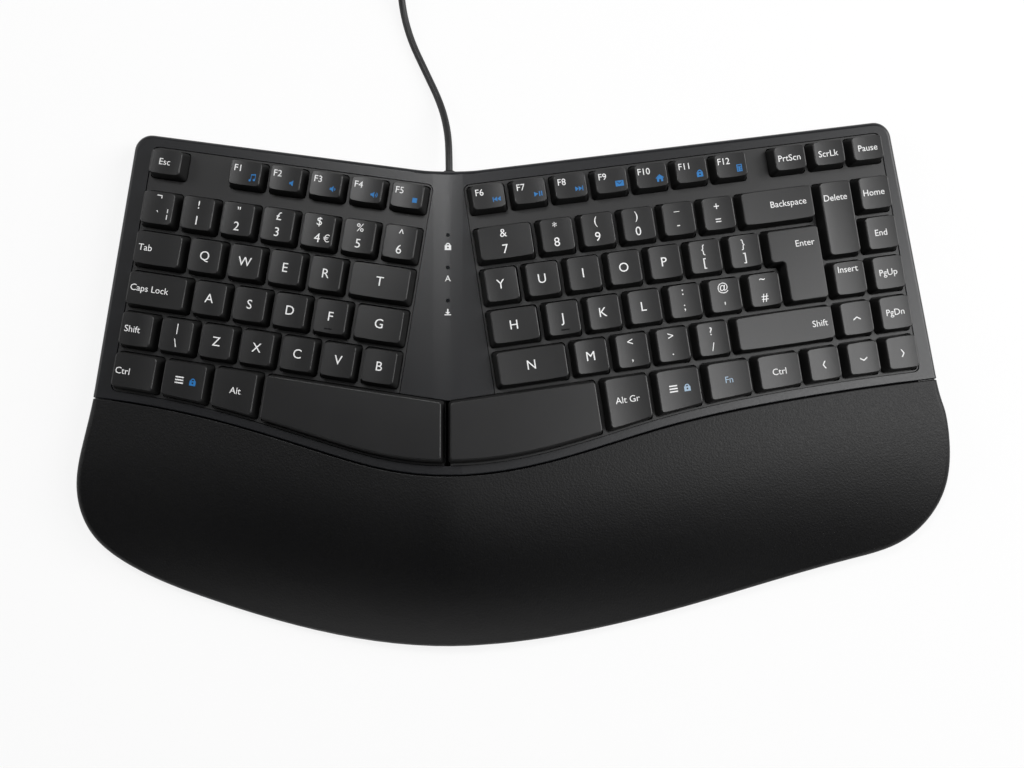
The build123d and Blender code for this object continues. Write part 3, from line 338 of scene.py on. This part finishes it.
def plug_plastic():
    # PVC moulded over the plug, with a fine matt texture
    material, tree, shader, at = new_material("moulded PVC, plug")
    grain = add(tree, "ShaderNodeTexNoise", {"Vector": at, "Scale": every(0.8)}).outputs["Fac"]
    colour = add(tree, "ShaderNodeMix",
                 {SHARE: grain, DARK: linear("#101011"), LIGHT: linear("#1a1a1b")},
                 data_type="RGBA").outputs[MIXED]
    rough = add(tree, "ShaderNodeMapRange",
                {"Value": grain, "To Min": 0.45, "To Max": 0.6}).outputs["Result"]
    bump = add(tree, "ShaderNodeBump", {"Height": grain, "Distance": 0.02 * MM}).outputs["Normal"]
    feed(tree, shader, {"Base Color": colour, "Roughness": rough, "Normal": bump,
                        "Specular IOR Level": 0.4})
    return material


def nickel_plate():
    # Nickel-plated steel of the plug shell and screws, with faint drawing marks
    material, tree, shader, at = new_material("nickel-plated steel")
    marks = add(tree, "ShaderNodeTexNoise",
                {"Vector": at, "Scale": every(1.2), "Detail": 4.0}).outputs["Fac"]
    colour = add(tree, "ShaderNodeMix",
                 {SHARE: marks, DARK: linear("#b0aea7"), LIGHT: linear("#d6d4ce")},
                 data_type="RGBA").outputs[MIXED]
    rough = add(tree, "ShaderNodeMapRange",
                {"Value": marks, "To Min": 0.2, "To Max": 0.38}).outputs["Result"]
    feed(tree, shader, {"Base Color": colour, "Roughness": rough, "Metallic": 1.0})
    return material


def galvanised_steel():
    # Zinc-coated sheet with crystal spangles a few millimetres wide
    material, tree, shader, at = new_material("galvanised steel sheet")
    spangle = add(tree, "ShaderNodeTexVoronoi",
                  {"Vector": at, "Scale": every(5.0)}).outputs["Color"]
    tone = add(tree, "ShaderNodeSeparateColor", {"Color": spangle}).outputs["Red"]
    colour = add(tree, "ShaderNodeMix",
                 {SHARE: tone, DARK: linear("#8a8d8f"), LIGHT: linear("#b0b3b5")},
                 data_type="RGBA").outputs[MIXED]
    rough = add(tree, "ShaderNodeMapRange",
                {"Value": tone, "To Min": 0.34, "To Max": 0.5}).outputs["Result"]
    feed(tree, shader, {"Base Color": colour, "Roughness": rough, "Metallic": 1.0})
    return material


def silicone():
    # Milky translucent dome sheet
    material, tree, shader, at = new_material("milky silicone rubber")
    cloud = add(tree, "ShaderNodeTexNoise", {"Vector": at, "Scale": every(4.0)}).outputs["Fac"]
    colour = add(tree, "ShaderNodeMix",
                 {SHARE: cloud, DARK: linear("#c4c4be"), LIGHT: linear("#dadad5")},
                 data_type="RGBA").outputs[MIXED]
    rough = add(tree, "ShaderNodeMapRange",
                {"Value": cloud, "To Min": 0.45, "To Max": 0.6}).outputs["Result"]
    feed(tree, shader, {"Base Color": colour, "Roughness": rough, "Subsurface Weight": 0.2,
                        "Subsurface Scale": 1.0 * MM})
    return material


def printed_film():
    # Polyester film with the grey print of the contact tracks, in lines 1.5 mm apart
    material, tree, shader, at = new_material("printed polyester film")
    tracks = every(1.5) * WAVE_TURN
    lines = add(tree, "ShaderNodeTexWave",
                {"Vector": at, "Scale": tracks, "Distortion": 1.5}).outputs["Fac"]
    colour = add(tree, "ShaderNodeMix",
                 {SHARE: lines, DARK: linear("#8f9a92"), LIGHT: linear("#a5aea6")},
                 data_type="RGBA").outputs[MIXED]
    rough = add(tree, "ShaderNodeMapRange",
                {"Value": lines, "To Min": 0.25, "To Max": 0.4}).outputs["Result"]
    feed(tree, shader, {"Base Color": colour, "Roughness": rough})
    return material


def circuit_board():
    # Green solder mask over copper tracks, drawn as cells 2 mm by 1 mm
    material, tree, shader, at = new_material("green solder mask")
    tracks = add(tree, "ShaderNodeTexBrick",
                 {"Vector": at, "Scale": every(4.0), "Mortar Size": 0.03,
                  "Color1": linear("#135a30"), "Color2": linear("#176535"),
                  "Mortar": linear("#2a7a46")}).outputs["Color"]
    skin = add(tree, "ShaderNodeTexNoise", {"Vector": at, "Scale": every(2.0)}).outputs["Fac"]
    rough = add(tree, "ShaderNodeMapRange",
                {"Value": skin, "To Min": 0.3, "To Max": 0.45}).outputs["Result"]
    feed(tree, shader, {"Base Color": tracks, "Roughness": rough})
    return material


def clear_acrylic():
    # Smoked light pipes, milky at their rough ends
    material, tree, shader, at = new_material("smoked acrylic")
    haze = add(tree, "ShaderNodeTexNoise", {"Vector": at, "Scale": every(1.0)}).outputs["Fac"]
    colour = add(tree, "ShaderNodeMix",
                 {SHARE: haze, DARK: linear("#0b0c0e"), LIGHT: linear("#1c1e22")},
                 data_type="RGBA").outputs[MIXED]
    rough = add(tree, "ShaderNodeMapRange",
                {"Value": haze, "To Min": 0.08, "To Max": 0.2}).outputs["Result"]
    feed(tree, shader, {"Base Color": colour, "Roughness": rough})
    return material


def printed_ink(name, dark, light):
    # Pad-printed ink, slightly uneven where the grain of the plastic shows through
    material, tree, shader, at = new_material(name)
    grain = add(tree, "ShaderNodeTexNoise", {"Vector": at, "Scale": every(0.6)}).outputs["Fac"]
    colour = add(tree, "ShaderNodeMix", {SHARE: grain, DARK: linear(dark), LIGHT: linear(light)},
                 data_type="RGBA").outputs[MIXED]
    rough = add(tree, "ShaderNodeMapRange",
                {"Value": grain, "To Min": 0.4, "To Max": 0.55}).outputs["Result"]
    feed(tree, shader, {"Base Color": colour, "Roughness": rough, "Specular IOR Level": 0.4})
    return material


CASE = satin_case_plastic()
FRAME = satin_frame_plastic()
KEY = key_cap_plastic()
RUBBER = soft_rubber()
JACKET = cable_jacket()
PLUG = plug_plastic()
NICKEL = nickel_plate()
WHITE_INK = printed_ink("white pad print", "#dcdcdc", "#f0f0f0")
BLUE_INK = printed_ink("blue pad print", "#15649f", "#1f78bd")
PALE_INK = printed_ink("pale pad print", "#8ba6bf", "#a8bccd")

FINISHES = {
    "top_cover": CASE, "flip_foot_left": CASE, "flip_foot_right": CASE,
    "palm_rest": grained_palm_plastic(), "bottom_cover": floor_plastic(),
    "key_frame_left": FRAME, "key_frame_right": FRAME,
    "dome_sheets": silicone(), "contact_membranes": printed_film(),
    "back_plates": galvanised_steel(), "controller_board": circuit_board(),
    "light_pipes": clear_acrylic(), "case_screws": NICKEL,
    "rubber_feet": RUBBER, "cable_grommet": RUBBER,
    "plug_grip": PLUG, "plug_shell": NICKEL, "plug_tongue": PLUG,
}


def dress(node, material):
    node.data.materials.clear()
    node.data.materials.append(material)


for name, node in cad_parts.items():
    if name not in ("cable_lead", "cable_coil"):
        dress(node, FINISHES.get(name, KEY))
cable.data.materials.append(JACKET)


# Printed legends, each laid on the top of its own cap

PITCH = 19.0
FALL = math.tan(math.radians(1.5))
RIDGE_HEIGHT = 35.0
# For each half: the front corner of its key grid, its turn in plan and its slope, in degrees
HALVES = {LEFT: ((-24.98, -2.67), -8.96, 6.0), RIGHT: ((24.44, -2.99), 8.54, 5.0)}
CAPITAL_SHARE = 0.682
INK_THICKNESS = 0.08
INK_LIFT = 0.03
HOMING_BAR_LENGTH = 3.8
HOMING_BAR_RADIUS = 0.32
# The bar thins out to this share of its radius over this length at each end
HOMING_BAR_TIP = 0.3
HOMING_BAR_TAPER = 0.2


def deck_matrix(side):
    # Key-grid millimetres to the frame: along a row, towards the rear, square to the deck
    corner, turn, slope = HALVES[side]
    turn = math.radians(turn)
    rise = -side * math.tan(math.radians(slope))
    cosine, sine = math.cos(turn), math.sin(turn)
    along = Vector((cosine, sine, rise * cosine - FALL * sine)).normalized()
    up = Vector((-rise, FALL, 1)).normalized()
    back = up.cross(along)
    origin = place(*corner, RIDGE_HEIGHT - abs(rise * corner[0]) - FALL * corner[1])
    matrix = Matrix((along * MM, back * MM, up * MM)).transposed().to_4x4()
    matrix.translation = origin
    return matrix


DECKS = {side: deck_matrix(side) for side in (LEFT, RIGHT)}


def even(names):
    return [(name, 1.0) for name in names.split()]


# Each row: its half, the column it starts at, the middle of the row in millimetres, and the keys
# with their widths in columns. Two tall keys reach into another row, as enter_foot and delete_top,
# and strip is bare frame
KEY_ROWS = [
    (LEFT, -7.0, 9.5, [("ctrl_l", 1.25), ("menu_l", 1.25), ("alt_l", 1.25)]),
    (LEFT, -7.0, 28.5, even("shift_l backslash z x c v b")),
    (LEFT, -7.0, 47.5, [("caps", 1.65)] + even("a s d f") + [("g", 1.35)]),
    (LEFT, -7.0, 66.5, [("tab", 1.36)] + even("q w e r") + [("t", 1.64)]),
    (LEFT, -7.0, 85.5, even("grave 1 2 3 4 5 6")),
    (LEFT, -7.0, 106.95, [("esc", 2.0)] + even("f1 f2 f3 f4 f5")),
    (RIGHT, 2.46, 9.5, [("alt_gr", 1.26), ("menu_r", 1.26), ("fn", 1.26), ("ctrl_r", 1.26)]
     + even("left down right")),
    (RIGHT, 0.0, 28.5, [("n", 1.87)] + even("m comma dot slash") + [("shift_r", 2.63)]
     + even("up page_down")),
    (RIGHT, 0.0, 47.5, [("h", 1.333)] + even("j k l semicolon quote hash")
     + [("enter_foot", 1.167)] + even("insert page_up")),
    (RIGHT, 0.0, 66.5, even("y u i o p bracket_open bracket_close")
     + [("enter", 1.5)] + even("delete end")),
    (RIGHT, 0.0, 85.5, [("7", 1.5)] + even("8 9 0 minus equals")
     + [("backspace", 2.0)] + even("delete_top home")),
    (RIGHT, 0.0, 106.95, even("f6 f7 f8 f9 f10 f11 f12") + [("strip", 0.5)]
     + even("print scroll pause")),
]


def key_middles():
    middles = {}
    for side, column, b, keys in KEY_ROWS:
        a = column * PITCH
        for name, width in keys:
            middles[name] = (side, a + width * PITCH / 2, b)
            a += width * PITCH
    return middles


MIDDLES = key_middles()
SHARED = {
    "keys_modifier_left": "tab caps shift_l ctrl_l menu_l alt_l",
    "keys_modifier_right": "shift_r alt_gr menu_r fn ctrl_r",
    "keys_symbol_left": "grave backslash",
    "keys_symbol_right": "minus equals bracket_open bracket_close semicolon quote hash "
                         "comma dot slash",
    "keys_number_left": "1 2 3 4 5 6",
    "keys_number_right": "7 8 9 0",
    "keys_function_left": "esc f1 f2 f3 f4 f5",
    "keys_function_right": "f6 f7 f8 f9 f10 f11 f12",
    "keys_navigation": "print scroll pause delete home end insert page_up page_down",
    "keys_arrow": "left down right up",
}
NODE_OF = {key: node for node, keys in SHARED.items() for key in keys.split()}

# Heights of the letters, words and signs
LETTER_HEIGHT = 4.1
WORD_HEIGHT = 2.9
DIGIT_HEIGHT = 4.0
UPPER_HEIGHT = 3.6
LOWER_HEIGHT = 3.7
EURO_HEIGHT = 3.3
LAMP_LETTER_HEIGHT = 2.6
# How far the print stands beside the middle of the keys on each half
LETTER_DRIFT = {LEFT: 0.0, RIGHT: -0.5}
PAIR_DRIFT = {LEFT: 0.1, RIGHT: -0.6}
# Words, with the offset of their middle from the key's middle
WORDS = {
    "esc": ("Esc", -9.9, 0.1), "tab": ("Tab", -5.9, 0.0), "caps": ("Caps Lock", -3.2, 0.2),
    "shift_l": ("Shift", -1.8, 0.0), "ctrl_l": ("Ctrl", -5.3, -0.5), "alt_l": ("Alt", 0.7, -1.6),
    "alt_gr": ("Alt Gr", -0.5, -2.7), "ctrl_r": ("Ctrl", -0.2, -0.3),
    "shift_r": ("Shift", 16.6, 0.0), "backspace": ("Backspace", 5.1, 0.6),
    "enter": ("Enter", 5.0, 0.1), "delete": ("Delete", -0.6, 19.2), "insert": ("Insert", -0.4, 4.2),
    "home": ("Home", -0.7, 0.2), "end": ("End", -0.5, 0.0), "page_up": ("PgUp", -0.3, 0.1),
    "page_down": ("PgDn", -0.2, 0.2), "print": ("PrtScn", -0.4, 0.0),
    "scroll": ("ScrLk", -0.4, -0.3), "pause": ("Pause", 0.0, 0.0),
}
# Pairs, the shifted sign first, and the heights at which a sign lies if not at the usual two
PAIRS = {
    "grave": "¬`", "1": "!1", "2": "\"2", "3": "£3", "4": "$4", "5": "%5", "6": "^6", "7": "&7",
    "8": "*8", "9": "(9", "0": ")0", "minus": "_-", "equals": "+=", "bracket_open": "{[",
    "bracket_close": "}]", "semicolon": ":;", "quote": "@'", "hash": "~#", "comma": "<,",
    "dot": ">.", "slash": "?/", "backslash": "|\\",
}
UPPER_LIFT = 4.0
LOWER_LIFT = -3.3
OWN_LIFT = {
    "¬": 5.2, "\"": 5.0, "^": 4.9, "*": 4.7, "(": 3.5, ")": 3.4, "_": 3.2, "+": 3.3, "{": 3.0,
    "}": 3.0, "@": 3.4, "~": 4.9, "|": 3.1, "?": 3.5, "`": -1.7, "'": -3.8, "#": -3.8, ",": -4.8,
    ".": -4.5, "/": -3.7,
}


def shape_of(data):
    # The vertices and faces of a filled curve or text
    helper = bpy.data.objects.new("helper", data)
    bpy.context.scene.collection.objects.link(helper)
    bpy.context.view_layer.update()
    scene_state = bpy.context.evaluated_depsgraph_get()
    mesh = bpy.data.meshes.new_from_object(helper.evaluated_get(scene_state))
    points = [tuple(v.co) for v in mesh.vertices]
    faces = [tuple(p.vertices) for p in mesh.polygons]
    bpy.data.objects.remove(helper)
    bpy.data.meshes.remove(mesh)
    bpy.data.curves.remove(data)
    return points, faces


def centred(points, middle=None):
    # Moves a shape so that its box, or a given height of it, is centred on the origin
    xs = [p[0] for p in points]
    ys = [p[1] for p in points]
    x = (min(xs) + max(xs)) / 2
    y = (min(ys) + max(ys)) / 2 if middle is None else middle
    return [(p[0] - x, p[1] - y, p[2]) for p in points]


def lettering(text, height, by_capital=True):
    # Text of that capital height, centred on its capitals or on its own box
    data = bpy.data.curves.new("lettering", "FONT")
    data.body = text
    data.size = height / CAPITAL_SHARE
    data.extrude = INK_THICKNESS / 2
    data.resolution_u = 3
    points, faces = shape_of(data)
    return centred(points, height / 2 if by_capital else None), faces


def homing_bar():
    # A thin round bar, half sunk in its cap, with tapered ends
    data = bpy.data.curves.new("bar", "CURVE")
    data.dimensions = "3D"
    data.bevel_depth = HOMING_BAR_RADIUS
    data.bevel_resolution = 2
    data.use_fill_caps = True
    spline = data.splines.new("POLY")
    end = HOMING_BAR_LENGTH / 2
    full = end - HOMING_BAR_TAPER
    stations = [(-end, HOMING_BAR_TIP), (-full, 1.0), (full, 1.0), (end, HOMING_BAR_TIP)]
    spline.points.add(len(stations) - 1)
    for point, (x, share) in zip(spline.points, stations):
        point.co = (x, 0, 0, 1)
        point.radius = share
    return shape_of(data)


def icon(groups):
    # Each group is an outline with its holes
    points = []
    faces = []
    for outlines in groups:
        data = bpy.data.curves.new("icon", "CURVE")
        data.dimensions = "2D"
        data.fill_mode = "BOTH"
        data.extrude = INK_THICKNESS / 2
        for outline in outlines:
            spline = data.splines.new("POLY")
            spline.points.add(len(outline) - 1)
            for point, at in zip(spline.points, outline):
                point.co = (*at, 0, 1)
            spline.use_cyclic_u = True
        more_points, more_faces = shape_of(data)
        faces += [tuple(i + len(points) for i in face) for face in more_faces]
        points += more_points
    return points, faces


DISC_STEP = 22


def bar(x0, y0, x1, y1):
    return [(x0, y0), (x1, y0), (x1, y1), (x0, y1)]


def disc(x, y, radius, start=0, end=360):
    # A circle, or the arc between two angles in degrees, with a point about every DISC_STEP
    count = max(4, round(abs(end - start) / DISC_STEP))
    closed = abs(end - start) == 360
    angles = [math.radians(start + (end - start) * i / count)
              for i in range(count if closed else count + 1)]
    return [(x + radius * math.cos(angle), y + radius * math.sin(angle)) for angle in angles]


def arch(x, y, inner, outer, start, end):
    return disc(x, y, outer, start, end) + disc(x, y, inner, end, start)


def turned(groups, degrees):
    angle = math.radians(degrees)
    c, s = math.cos(angle), math.sin(angle)
    return [[[(x * c - y * s, x * s + y * c) for x, y in outline] for outline in group]
            for group in groups]


# Signs, in millimetres: groups of an outline and its holes
SPEAKER = [[[(-1.5, -0.5), (-0.8, -0.5), (0.2, -1.4), (0.2, 1.4), (-0.8, 0.5), (-1.5, 0.5)]]]
SOFT_WAVE = [arch(0.2, 0, 0.6, 0.95, -45, 45)]
LOUD_WAVE = [arch(0.2, 0, 1.3, 1.65, -45, 45)]
CHEVRON = [[[(-1.75, -0.75), (-1.75, -0.15), (0, 0.95), (1.75, -0.15), (1.75, -0.75), (0, 0.35)]]]
BACKWARDS = [[bar(-1.9, -1.1, -1.5, 1.1)], [[(-1.4, 0), (0.1, -1.1), (0.1, 1.1)]],
             [[(0.2, 0), (1.7, -1.1), (1.7, 1.1)]]]
ICONS = {
    "padlock": [[bar(-1.45, -1.8, 1.45, 0.4), disc(0, -0.65, 0.42)],
                [arch(0, 0.4, 0.62, 1.12, 0, 180)]],
    "notes": [[disc(-1.05, -1.25, 0.55)], [disc(0.95, -0.95, 0.55)], [bar(-0.76, -1.2, -0.5, 1.3)],
              [bar(1.24, -0.9, 1.5, 1.6)], [[(-0.76, 1.0), (1.5, 1.3), (1.5, 1.9), (-0.76, 1.6)]]],
    "speaker": SPEAKER,
    "speaker_low": SPEAKER + [SOFT_WAVE],
    "speaker_high": SPEAKER + [SOFT_WAVE, LOUD_WAVE],
    "stop": [[bar(-1.1, -1.1, 1.1, 1.1)]],
    "previous": BACKWARDS,
    "next": turned(BACKWARDS, 180),
    "play": [[[(-1.8, -1.1), (0.0, 0), (-1.8, 1.1)]], [bar(0.4, -1.1, 0.9, 1.1)],
             [bar(1.4, -1.1, 1.9, 1.1)]],
    "envelope": [[bar(-1.9, -1.3, 1.9, 1.3),
                  [(-1.5, 0.95), (-1.1, 0.95), (0, 0.1), (1.1, 0.95), (1.5, 0.95), (0, -0.35)]]],
    "house": [[[(-1.4, -1.6), (-0.45, -1.6), (-0.45, -0.5), (0.45, -0.5), (0.45, -1.6),
                (1.4, -1.6), (1.4, 0.1), (0, 1.3), (-1.4, 0.1)]],
              [[(-1.95, 0.15), (0, 1.8), (1.95, 0.15), (1.7, -0.1), (0, 1.35), (-1.7, -0.1)]]],
    "calculator": [[bar(-1.25, -1.7, 1.25, 1.7), bar(-0.85, 0.7, 0.85, 1.3),
                    bar(-0.85, -0.3, -0.35, 0.2), bar(0.35, -0.3, 0.85, 0.2),
                    bar(-0.85, -1.2, -0.35, -0.7), bar(0.35, -1.2, 0.85, -0.7)]],
    "menu": [[bar(-1.9, 1.0, 1.9, 1.6)], [bar(-1.9, -0.3, 1.9, 0.3)], [bar(-1.9, -1.6, 1.9, -1.0)]],
    "drop": [[bar(-0.3, -0.2, 0.3, 1.45)], [[(-1.1, 0.0), (0, -1.0), (1.1, 0.0)]],
             [bar(-1.45, -1.45, 1.45, -1.0)]],
    "up": CHEVRON,
    "left": turned(CHEVRON, 90),
    "down": turned(CHEVRON, 180),
    "right": turned(CHEVRON, -90),
}
FUNCTION_ICONS = ["notes", "speaker", "speaker_low", "speaker_high", "stop", "previous", "play",
                  "next", "envelope", "house", "padlock", "calculator"]


def all_marks():
    # Key, shape, offset from the key's middle, ink
    for letter in "qwertyuiopasdfghjklzxcvbnm":
        drift = LETTER_DRIFT[MIDDLES[letter][0]]
        yield letter, lettering(letter.upper(), LETTER_HEIGHT), (drift, 0.1), WHITE_INK
    for key, (text, dx, dy) in WORDS.items():
        yield key, lettering(text, WORD_HEIGHT), (dx, dy), WHITE_INK
    for key, (upper, lower) in PAIRS.items():
        drift = PAIR_DRIFT[MIDDLES[key][0]]
        lift = OWN_LIFT.get(upper, UPPER_LIFT)
        yield key, lettering(upper, UPPER_HEIGHT, False), (drift, lift), WHITE_INK
        lift = OWN_LIFT.get(lower, LOWER_LIFT)
        height = DIGIT_HEIGHT if lower.isdigit() else LOWER_HEIGHT
        yield key, lettering(lower, height, False), (drift, lift), WHITE_INK
    yield "grave", lettering("¦", LOWER_HEIGHT, False), (5.0, -2.6), WHITE_INK
    yield "4", lettering("€", EURO_HEIGHT, False), (4.5, -3.1), WHITE_INK
    for number, name in enumerate(FUNCTION_ICONS, 1):
        key = "f" + str(number)
        dx = -3.8 if number < 10 else -3.3
        yield key, lettering(key.upper(), WORD_HEIGHT), (dx, 2.1), WHITE_INK
        yield key, icon(ICONS[name]), (3.7, -1.8), BLUE_INK
    for key in ("up", "left", "down", "right"):
        yield key, icon(ICONS[key]), (0.0, -0.3), WHITE_INK
    yield "menu_l", icon(ICONS["menu"]), (-2.1, -0.7), WHITE_INK
    yield "menu_l", icon(ICONS["padlock"]), (4.3, -0.7), BLUE_INK
    yield "menu_r", icon(ICONS["menu"]), (-2.7, -1.1), WHITE_INK
    yield "menu_r", icon(ICONS["padlock"]), (3.7, -1.2), PALE_INK
    yield "fn", lettering("Fn", WORD_HEIGHT), (-0.3, -0.6), PALE_INK
    yield "f", homing_bar(), (-0.3, -5.6), KEY
    yield "j", homing_bar(), (0.2, -5.4), KEY


def surface_under(node):
    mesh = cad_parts[node].data
    return BVHTree.FromPolygons([v.co for v in mesh.vertices], [p.vertices for p in mesh.polygons])


# Height over the deck from which a sign is dropped onto its cap
DROP_HEIGHT = 20


def laid_on(surface, matrix, points, dx, dy):
    # Drops each point onto the surface, square to the deck, and keeps its own height above it
    up = matrix.to_3x3() @ Vector((0, 0, 1))
    laid = []
    for x, y, z in points:
        above = matrix @ Vector((x + dx, y + dy, DROP_HEIGHT))
        hit = surface.ray_cast(above, -up.normalized())[0]
        if hit is None:
            raise ValueError("a sign reaches past what it is printed on")
        laid.append(hit + up * (z + INK_LIFT))
    return laid


def new_piece(name, points, faces, material, body):
    mesh = bpy.data.meshes.new(name)
    mesh.from_pydata([tuple(p) for p in points], [], faces)
    mesh.materials.append(material)
    piece = bpy.data.objects.new(name, mesh)
    bpy.context.scene.collection.objects.link(piece)
    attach(piece, body)
    return piece


def print_legends():
    sheets = {}
    surfaces = {}
    for key, (points, faces), (dx, dy), ink in all_marks():
        node = NODE_OF.get(key, "key_" + key)
        side, a, b = MIDDLES[key]
        if node not in surfaces:
            surfaces[node] = surface_under(node)
        laid = laid_on(surfaces[node], DECKS[side], points, a + dx, b + dy)
        all_points, all_faces = sheets.setdefault((node, ink), ([], []))
        all_faces += [tuple(i + len(all_points) for i in face) for face in faces]
        all_points += laid
    for (node, ink), (points, faces) in sheets.items():
        kind = "homing_bar_" if ink == KEY else "legend_" + ink.name.split()[0] + "_"
        new_piece(kind + node, points, faces, ink, node)


print_legends()

# Signs of the three indicator lamps, printed on the ridge in front of their holes

RIDGE_SIGNS = [("padlock_sign", icon(ICONS["padlock"]), 82.3),
               ("capital_sign", lettering("A", LAMP_LETTER_HEIGHT), 67.5),
               ("drop_sign", icon(ICONS["drop"]), 52.1)]


def print_ridge_signs():
    ridge = Matrix.Translation(place(0, 0, RIDGE_HEIGHT)) @ Matrix.Scale(MM, 4)
    surface = surface_under("top_cover")
    for name, (points, faces), y in RIDGE_SIGNS:
        laid = laid_on(surface, ridge, points, 0, y)
        new_piece(name, laid, faces, WHITE_INK, "case")


print_ridge_signs()

# Tongues that close both ends of the seam between cover and palm rest

SEAM_ENDS = {"left": ((-164.6, 13.6), (26.9, -3.4)), "right": ((229.8, 22.8), (-24.8, -2.8))}
SEAM_GAP = 0.4
TONGUE_THICKNESS = 2.0
TONGUE_FOOT = 3.2
# Distance from the end of the seam, and depth under the deck there, which follows the rounded rim
TONGUE_TOP = [(0.15, 3.6), (1.0, 2.2), (2.4, 1.3), (9.0, 1.3)]


def make_seam_tongue(name, end, way):
    # A thin upright web along the seam, sunk into the walls on both sides of it
    along = Vector(way).normalized()
    across = Vector((-along.y, along.x)) * TONGUE_THICKNESS / 2
    points = []
    for distance, sink in TONGUE_TOP:
        middle = Vector(end) + along * distance - Vector((0, SEAM_GAP / 2))
        slope = math.tan(math.radians(HALVES[LEFT if middle.x < 0 else RIGHT][2]))
        top = RIDGE_HEIGHT - slope * abs(middle.x) - FALL * middle.y - sink
        for side, height in ((1, TONGUE_FOOT), (-1, TONGUE_FOOT), (-1, top), (1, top)):
            points.append(place(*(middle + across * side), height))
    faces = [(0, 1, 2, 3), (15, 14, 13, 12)]
    for ring in (0, 4, 8):
        for i in range(4):
            after = (i + 1) % 4
            faces.append((ring + i, ring + 4 + i, ring + 4 + after, ring + after))
    new_piece("seam_tongue_" + name, points, faces, FRAME, "case")


for name, (end, way) in SEAM_ENDS.items():
    make_seam_tongue(name, end, way)

# Floor and light

WORLD_STRENGTH = 0.06
FLOOR_GLOW = 0.85
# Radius and height of the floor's rings, in metres: flat, then swept up to a low wall all round
FLOOR_RINGS = [(0.5, 0), (2.4, 0), (2.7, 0.05), (2.9, 0.2), (3.0, 0.5), (3.0, 1.2)]
FLOOR_SIDES = 96


def pale_studio_floor():
    # Matt white card: camera and reflections see it almost white, with the object's shadow on it
    material, tree, shader, at = new_material("matt white studio card")
    feed(tree, shader, {"Base Color": linear("#f4f4f4"), "Roughness": 0.6,
                        "Specular IOR Level": 0.1})
    path = add(tree, "ShaderNodeLightPath", {}).outputs
    seen = add(tree, "ShaderNodeMath", {0: path["Is Camera Ray"], 1: path["Is Glossy Ray"]},
               operation="MAXIMUM").outputs["Value"]
    seen = add(tree, "ShaderNodeMath", {0: seen, 1: path["Is Transmission Ray"]},
               operation="MAXIMUM").outputs["Value"]
    share = add(tree, "ShaderNodeMath", {0: seen, 1: FLOOR_GLOW},
                operation="MULTIPLY").outputs["Value"]
    glow = add(tree, "ShaderNodeEmission",
               {"Color": linear("#ffffff"), "Strength": 1.0}).outputs["Emission"]
    mix = add(tree, "ShaderNodeMixShader",
              {0: share, 1: shader.outputs["BSDF"], 2: glow}).outputs["Shader"]
    feed(tree, tree.nodes["Material Output"], {"Surface": mix})
    return material


def make_floor():
    points = []
    faces = [tuple(range(FLOOR_SIDES))]
    for radius, height in FLOOR_RINGS:
        for step in range(FLOOR_SIDES):
            angle = 2 * math.pi * step / FLOOR_SIDES
            points.append((radius * math.cos(angle), radius * math.sin(angle), height))
    for ring in range(len(FLOOR_RINGS) - 1):
        first = ring * FLOOR_SIDES
        outer = first + FLOOR_SIDES
        for step in range(FLOOR_SIDES):
            after = (step + 1) % FLOOR_SIDES
            faces.append((first + step, outer + step, outer + after, first + after))
    mesh = bpy.data.meshes.new("floor")
    mesh.from_pydata(points, [], faces)
    mesh.materials.append(pale_studio_floor())
    floor = bpy.data.objects.new("floor", mesh)
    bpy.context.scene.collection.objects.link(floor)


# Two wide softboxes light the whole from low on the left and right, and two small lamps over it
# give the sheen on the right half and on the ridge. Each lamp: name, place, what it is aimed at and
# width, in metres, and power in watts
LAMPS = [
    ("left softbox", (-1.5, 0.5, 1.0), (0, 0, 0), 0.9, 5),
    ("right softbox", (1.5, 0.5, 1.0), (0, 0, 0), 0.9, 20),
    ("right top lamp", (0.76, 0.05, 1.2), (0.1, 0, 0), 0.45, 6),
    ("rear top lamp", (-0.2, 0.55, 1.2), (0, 0, 0), 0.3, 6),
]


def make_lamp(name, at, aim, width, power):
    data = bpy.data.lights.new(name, "AREA")
    data.size = width
    data.energy = power
    lamp = bpy.data.objects.new(name, data)
    bpy.context.scene.collection.objects.link(lamp)
    lamp.location = at
    lamp.rotation_euler = (Vector(aim) - Vector(at)).to_track_quat("-Z", "Y").to_euler()


def make_world():
    world = bpy.data.worlds.new("studio")
    world.use_nodes = True
    sky = world.node_tree.nodes["Background"]
    feed(world.node_tree, sky, {"Color": linear("#ffffff"), "Strength": WORLD_STRENGTH})
    bpy.context.scene.world = world


make_floor()
make_world()
for lamp in LAMPS:
    make_lamp(*lamp)
bpy.context.scene.view_settings.view_transform = "Standard"
